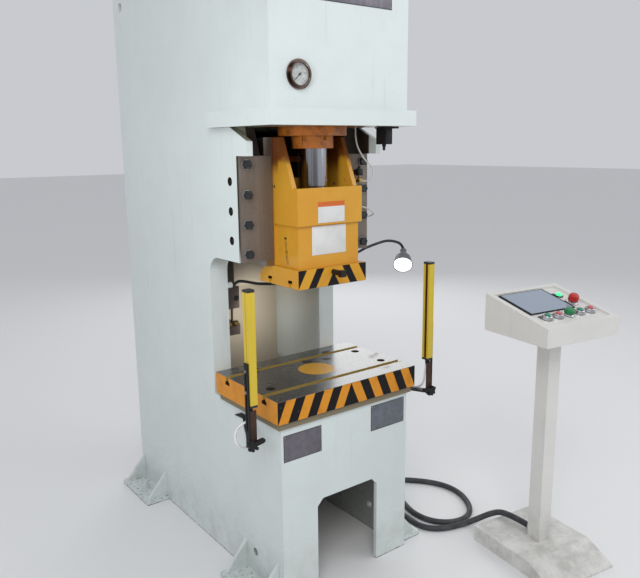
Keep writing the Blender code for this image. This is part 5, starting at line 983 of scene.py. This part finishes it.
def make_curtain_brackets():
    """Angle flange, flat arm with its foot, and handle of each light curtain."""
    black = plain("bracket_black", (0.011, 0.01, 0.01), 0.45, seed=15.0).dull(0.25).done()
    brown = plain("bracket_brown", (0.04, 0.022, 0.016), 0.6, seed=3.0)
    brown.mottle(30.0, (0.075, 0.036, 0.022), 0.7, 6.0)
    brown = brown.dull(0.25).done()
    width, reach, front, back = 0.028, 0.2665, -0.0045, 0.262
    for name, side in SIDES:
        low = at(min(side * 0.4033, side * 0.4283), -0.0108, 0.6405)
        high = at(max(side * 0.4033, side * 0.4283), -0.0048, 0.771)
        add_mesh("curtain_flange_" + name, slab(low, high, 0.0006), brown)
        near, wall = side * 0.4271, side * 0.3003
        run = abs(near - wall)
        across = width * math.hypot(run, reach) / reach
        along = width * math.hypot(run, reach) / run
        strip = [(near, front), (near, front + along / 4), (wall, back), (wall, back - along)]
        strip.append((near - side * across, front))
        parts = [grown(strip, 0.646, 0.652)]
        # The foot is a plate on the frame's side, drawn out to a point at the back
        foot = [(back - along, 0.634), (back - along, 0.652), (back, 0.652)]
        foot += [(0.304, 0.6335), (0.301, 0.631), (back, 0.634)]
        turn = Matrix(((0, 0, 1, 0), (1, 0, 0, 0), (0, 1, 0, 0), (0, 0, 0, 1)))
        plate = grown([(y + ORIGIN_X, z + ORIGIN_Y) for y, z in foot], 0.0, 0.006)
        start = wall if side > 0 else wall - 0.006
        parts.append(moved(plate, Matrix.Translation(at(start, 0.0, 0.0)) @ turn))
        arm = add_mesh("curtain_strip_" + name, gather(parts), black)
        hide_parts("curtain_arm_" + name)
        make_handle(name, side, black)


CURTAIN_CABLES = {
    "left": (
        (0.4135, 0.004, 0.77), (0.4135, 0.0045, 0.76), (0.4125, 0.007, 0.748), (0.413, 0.016, 0.735),
        (0.421, 0.027, 0.723), (0.435, 0.031, 0.716), (0.45, 0.031, 0.708), (0.462, 0.028, 0.696),
        (0.468, 0.024, 0.68), (0.466, 0.02, 0.662), (0.456, 0.018, 0.647), (0.441, 0.019, 0.637),
        (0.424, 0.027, 0.633), (0.408, 0.045, 0.6345), (0.393, 0.078, 0.639), (0.375, 0.117, 0.6415),
        (0.356, 0.156, 0.641), (0.338, 0.188, 0.638), (0.322, 0.206, 0.63), (0.313, 0.212, 0.6255),
        (0.3064, 0.2145, 0.6235),
    ),
    "right": (
        (0.4135, 0.004, 0.77), (0.4135, 0.0045, 0.76), (0.4125, 0.006, 0.744), (0.411, 0.008, 0.726),
        (0.41, 0.01, 0.707), (0.409, 0.013, 0.689), (0.406, 0.019, 0.673), (0.402, 0.031, 0.662),
        (0.396, 0.048, 0.656), (0.388, 0.07, 0.6548), (0.376, 0.098, 0.6546), (0.364, 0.125, 0.6546),
        (0.351, 0.153, 0.6546), (0.337, 0.18, 0.656), (0.323, 0.198, 0.659), (0.314, 0.206, 0.6605),
        (0.3068, 0.209, 0.661),
    ),
}


def make_curtain_cables():
    """Thin cable of each light curtain, from its lower cap to the frame's side."""
    white = plain("cable_white", (0.76, 0.76, 0.77), 0.4, seed=12.0)
    white = white.specks(90.0, (0.3, 0.3, 0.32), 0.6, 0.6, 4.0).done()
    dark = plain("cable_relief", (0.02, 0.02, 0.022), 0.5, seed=13.0).dull(0.25).done()
    radius = 0.004
    relief = [(0.0, 0.0), (0.0058, 0.0), (0.0056, 0.004), (0.0042, 0.021), (0.0, 0.021)]
    nut = [(0.0, 0.0), (0.0075, 0.0), (0.0075, 0.005), (0.0048, 0.008), (0.0, 0.008)]
    for name, side in SIDES:
        points = smooth_route([at(side * x, y, z) for x, y, z in CURTAIN_CABLES[name]], 60)
        cap = at(side * POST_X, 0.0038, 0.7832)
        end = Vector((at(side * 0.3001, 0.0, 0.0).x, points[-1].y, points[-1].z))
        both = [turned(relief, 20, cap, points[0] - cap), turned(nut, 6, end, (side, 0, 0))]
        ends = add_mesh("cable_reliefs_" + name, gather(both), dark)
        cable = cord_curve("curtain_cable_" + name, points, radius, 3, white)


def make_lamp_arm():
    """Ribbed flexible arm along the solid's own route."""
    jaw, end_x, end_y = 1.222, 0.564, 0.3
    sag_z, end_z, socket_z, swing = jaw - 0.14, jaw - 0.046, jaw - 0.126, 0.172
    tilt, aim = math.radians(58.0), math.radians(45.0)
    down = Vector((-math.sin(tilt) * math.cos(aim), -math.sin(tilt) * math.sin(aim), -math.cos(tilt)))
    route = [(-0.2037, 0.472, socket_z), (-0.1917, 0.472, socket_z)]
    for reach, turn, climb in (
        (-0.293, 0.94, 0.27), (-0.142, 0.85, 0.06), (0.071, 0.76, 0.0), (0.266, 0.61, 0.35)
    ):
        route.append((reach * end_x, end_y + turn * swing, sag_z + climb * (end_z - sag_z)))
    route.append((0.426 * end_x, end_y + 0.29 * swing, sag_z + 0.83 * (end_z - sag_z)))
    for reach, turn, climb in ((0.543, 0.07, 0.28), (0.637, 0.0, 0.7), (0.821, 0.0, 1.02), (0.95, 0.0, 0.72)):
        route.append((reach * end_x, end_y + turn * swing, end_z + climb * 0.05))
    end = Vector((end_x, end_y, end_z))
    route += [tuple(end - down * 0.012), tuple(end)]
    points = smooth_route([at(*place) for place in route], 640)
    ribs = [1.0 if index % 4 < 2 else 0.84 for index in range(len(points))]
    s = plain("arm_black", (0.045, 0.046, 0.05), 0.3, 0.7, seed=4.0)
    s.rough(s.ramp(s.noise(30.0, 3.0), 0.5, 0.7), 0.45)
    arm = add_mesh("lamp_hose", swept(points, 0.006, 12, ribs), s.done())
    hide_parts("lamp_arm")


def panel_place():
    """The console panel's frame: X across, Y up the slope, Z out of it."""
    foot, low, high, depth = 0.9243, 0.0706, 0.1437, 0.313
    edge = Matrix.Translation((0.0, -depth / 2, foot + low))
    return CONSOLE_PLACE @ edge @ Matrix.Rotation(math.atan2(high - low, depth), 4, "X")


def make_console_parts():
    """Display, legend plates and silver collars on the console."""
    panel = panel_place()
    floor = -0.008
    display = glowing("display", (0.17, 0.2, 0.25), 0.55, 0.1)
    sheet = slab((-0.1405, 0.1245, floor + 0.0054), (0.0765, 0.2895, floor + 0.0058))
    add_mesh("screen_display", moved(sheet, panel), display, smooth=False)
    legend = plain("legend_black", (0.022, 0.022, 0.024), 0.35).done()
    silver = brushed("collar_silver", (0.62, 0.63, 0.65), 0.22).done()
    low_ring = [(0.0153, 0.0012), (0.0215, 0.0012), (0.0215, 0.0032), (0.0185, 0.0058), (0.0153, 0.0058)]
    bezel = [(0.0153, 0.0012), (0.0215, 0.0012), (0.0215, 0.0032), (0.0196, 0.006), (0.019, 0.0138)]
    bezel += [(0.0178, 0.0152), (0.0122, 0.0152), (0.0114, 0.0144), (0.0114, 0.0064), (0.0153, 0.0064)]
    rim = [(0.0129, 0.0012), (0.0172, 0.0012), (0.0172, 0.003), (0.0155, 0.0048), (0.0129, 0.0048)]
    places = [(-0.106 + 0.0565 * index, 0.082, low_ring if index == 2 else bezel) for index in range(5)]
    rings = []
    black_parts = []
    for x, y, profile in places + [(0.113, 0.16, low_ring), (0.111, 0.228, rim)]:
        spot = panel @ Matrix.Translation((x, y, floor))
        (black_parts if profile is rim else rings).append(moved(lathe(profile, 32), spot))
        black_plate = legend_plate(0.0129, 0.018) if profile is rim else legend_plate(0.0154, 0.0226)
        black_parts.append(moved(black_plate, spot))
    add_mesh("legend_plates", gather(black_parts), legend)
    add_mesh("button_collars", gather(rings), silver)


def legend_plate(hole, around):
    """Thin black plate round a collar, drawn out to a corner towards the screen."""
    sides, corner = 32, 0.0245
    shape = bmesh.new()
    layers = []
    for z in (0.0002, 0.001):
        inner = []
        outer = []
        for angle in round_angles(sides):
            dx, dy = math.cos(angle), math.sin(angle)
            reach = around
            if dx < -1e-6 and dy > 1e-6:
                reach = min(corner / max(abs(dx), 1e-9), corner / max(abs(dy), 1e-9))
            inner.append(shape.verts.new((hole * dx, hole * dy, z)))
            outer.append(shape.verts.new((reach * dx, reach * dy, z)))
        layers.append((inner, outer))
    (low_in, low_out), (high_in, high_out) = layers
    for index in range(sides):
        after = (index + 1) % sides
        shape.faces.new((high_in[index], high_out[index], high_out[after], high_in[after]))
        shape.faces.new((low_in[after], low_out[after], low_out[index], low_in[index]))
        shape.faces.new((high_out[index], low_out[index], low_out[after], high_out[after]))
        shape.faces.new((high_in[after], low_in[after], low_in[index], high_in[index]))
    return shape


def make_fittings():
    """Brass elbows and a small valve on the gibs' lubrication tubes, and fittings on the valve block."""
    brass = plain("brass", (0.48, 0.33, 0.12), 0.28, 1.0).done()
    dark = plain("fitting_black", (0.014, 0.014, 0.016), 0.4, seed=4.0).dull(0.3).done()
    nut = [(0.0034, 0.0), (0.0075, 0.0), (0.0075, 0.006), (0.0052, 0.008), (0.0052, 0.014), (0.0034, 0.014)]
    plug = [(0.0, 0.0)] + [(1.7 * r, 1.7 * h) for r, h in nut[1:4]] + [(0.0, 0.0136)]
    fitted = [turned(nut, 6, at(*place)) for place in ((0.23, 0.2315, 1.493), (0.246, 0.2315, 1.392))]
    fitted.append(slab(at(0.2225, 0.196, 1.4865), at(0.2375, 0.2176, 1.4995), 0.0015))
    fitted.append(turned(nut, 6, at(0.2375, 0.207, 1.493), (1, 0, 0)))
    fitted.append(turned(nut, 6, at(0.23, 0.207, 1.4995), UPWARD))
    fitted += [turned(plug, 6, at(x, 0.6, z)) for x, z in ((-0.15, 0.902), (-0.118, 0.902), (-0.215, 0.93))]
    add_mesh("tube_fittings", gather(fitted), brass, smooth=False)
    knob = [(0.0, 0.0), (0.0062, 0.0), (0.0062, 0.006), (0.005, 0.009), (0.0, 0.009)]
    # Painted shade: a thin black disc on the valve block stands for a hole
    sunk = [(0.0, 0.0), (0.012, 0.0), (0.012, 0.0006), (0.0, 0.0006)]
    valve = [
        slab(at(0.219, 0.1975, 1.5135), at(0.241, 0.2165, 1.54), 0.0016),
        turned(knob, 18, at(0.23, 0.207, 1.54), UPWARD),
        slab(at(0.223, 0.216, 1.518), at(0.237, 0.2314, 1.535), 0.001),
        turned(sunk, 24, at(-0.1087, 0.5999, 1.0074)),
    ]
    add_mesh("tube_valve", gather(valve), dark)


def make_travel_switch():
    """Travel switch under the head: mounting strip, body with lid and plunger."""
    dark = plain("switch_black", (0.012, 0.012, 0.013), 0.45, seed=11.0).dull(0.3).done()
    neck = [(0.0, 0.0), (0.0075, 0.0), (0.0075, 0.007), (0.0052, 0.01), (0.0052, 0.02)]
    neck += [(0.0035, 0.0222), (0.0, 0.0222)]
    screw = [(0.0, 0.0), (0.0021, 0.0), (0.0018, 0.0006), (0.0, 0.0006)]
    parts = [
        slab(at(0.2325, 0.0605, 1.6885), at(0.2995, 0.1195, 1.6946), 0.0008),
        slab(at(0.233, 0.062, 1.631), at(0.268, 0.114, 1.689), 0.002),
        slab(at(0.2345, 0.0606, 1.633), at(0.2665, 0.0625, 1.687), 0.0008),
        turned(neck, 20, at(0.2505, 0.088, 1.6312), (0, 0, -1)),
    ]
    parts += [turned(screw, 12, at(x, 0.0606, z)) for x in (0.2385, 0.2625) for z in (1.6375, 1.6825)]
    switch = add_mesh("travel_switch_unit", gather(parts), dark)
    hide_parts("travel_switch")


def make_stage():
    """Pale floor, soft sky and lamps."""
    shape = bmesh.new()
    bmesh.ops.create_grid(shape, x_segments=1, y_segments=1, size=40.0)
    mesh = bpy.data.meshes.new("floor")
    shape.to_mesh(mesh)
    shape.free()
    material = bpy.data.materials.new("floor")
    material.use_nodes = True
    shader = material.node_tree.nodes["Principled BSDF"]
    shader.inputs["Base Color"].default_value = (0.78, 0.78, 0.78, 1.0)
    shader.inputs["Roughness"].default_value = 0.9
    mesh.materials.append(material)
    linked("floor", mesh)
    world = bpy.data.worlds.new("sky")
    world.use_nodes = True
    sky = world.node_tree.nodes["Background"]
    sky.inputs["Color"].default_value = (0.93, 0.95, 1.0, 1.0)
    sky.inputs["Strength"].default_value = 0.62
    bpy.context.scene.world = world
    for name, place, target, size, power in (
        ("key", (-2.6, -3.0, 4.2), (0.0, 0.2, 1.1), 2.6, 95.0),
        ("fill", (3.4, -2.6, 3.0), (0.1, 0.2, 1.1), 3.0, 40.0),
        ("back", (3.4, 4.4, 2.7), (0.1, 0.3, 0.9), 3.0, 45.0),
        ("column", (0.02, 0.47, 0.98), (0.1, 0.95, 0.84), 0.26, 0.5),
        ("flank", (-2.0, -0.9, 1.7), (-0.15, 0.2, 1.5), 0.5, 2.4),
    ):
        data = bpy.data.lights.new(name, "AREA")
        data.shape = "DISK"
        data.spread = math.radians(70.0 if size < 1.0 else 180.0)
        data.size = size
        data.energy = power
        lamp = linked(name, data)
        start = at(*place)
        lamp.matrix_world = facing(start, start - at(*target))
        lamp.visible_glossy = size > 1.0


make_camera()
make_conduit()
make_curtain_cables()
dress_nodes()
make_plates()
make_gauge()
make_curtain_parts()
make_curtain_brackets()
make_lamp_arm()
make_console_parts()
make_fittings()
make_travel_switch()
make_stage()
bpy.context.scene.view_settings.view_transform = "Standard"
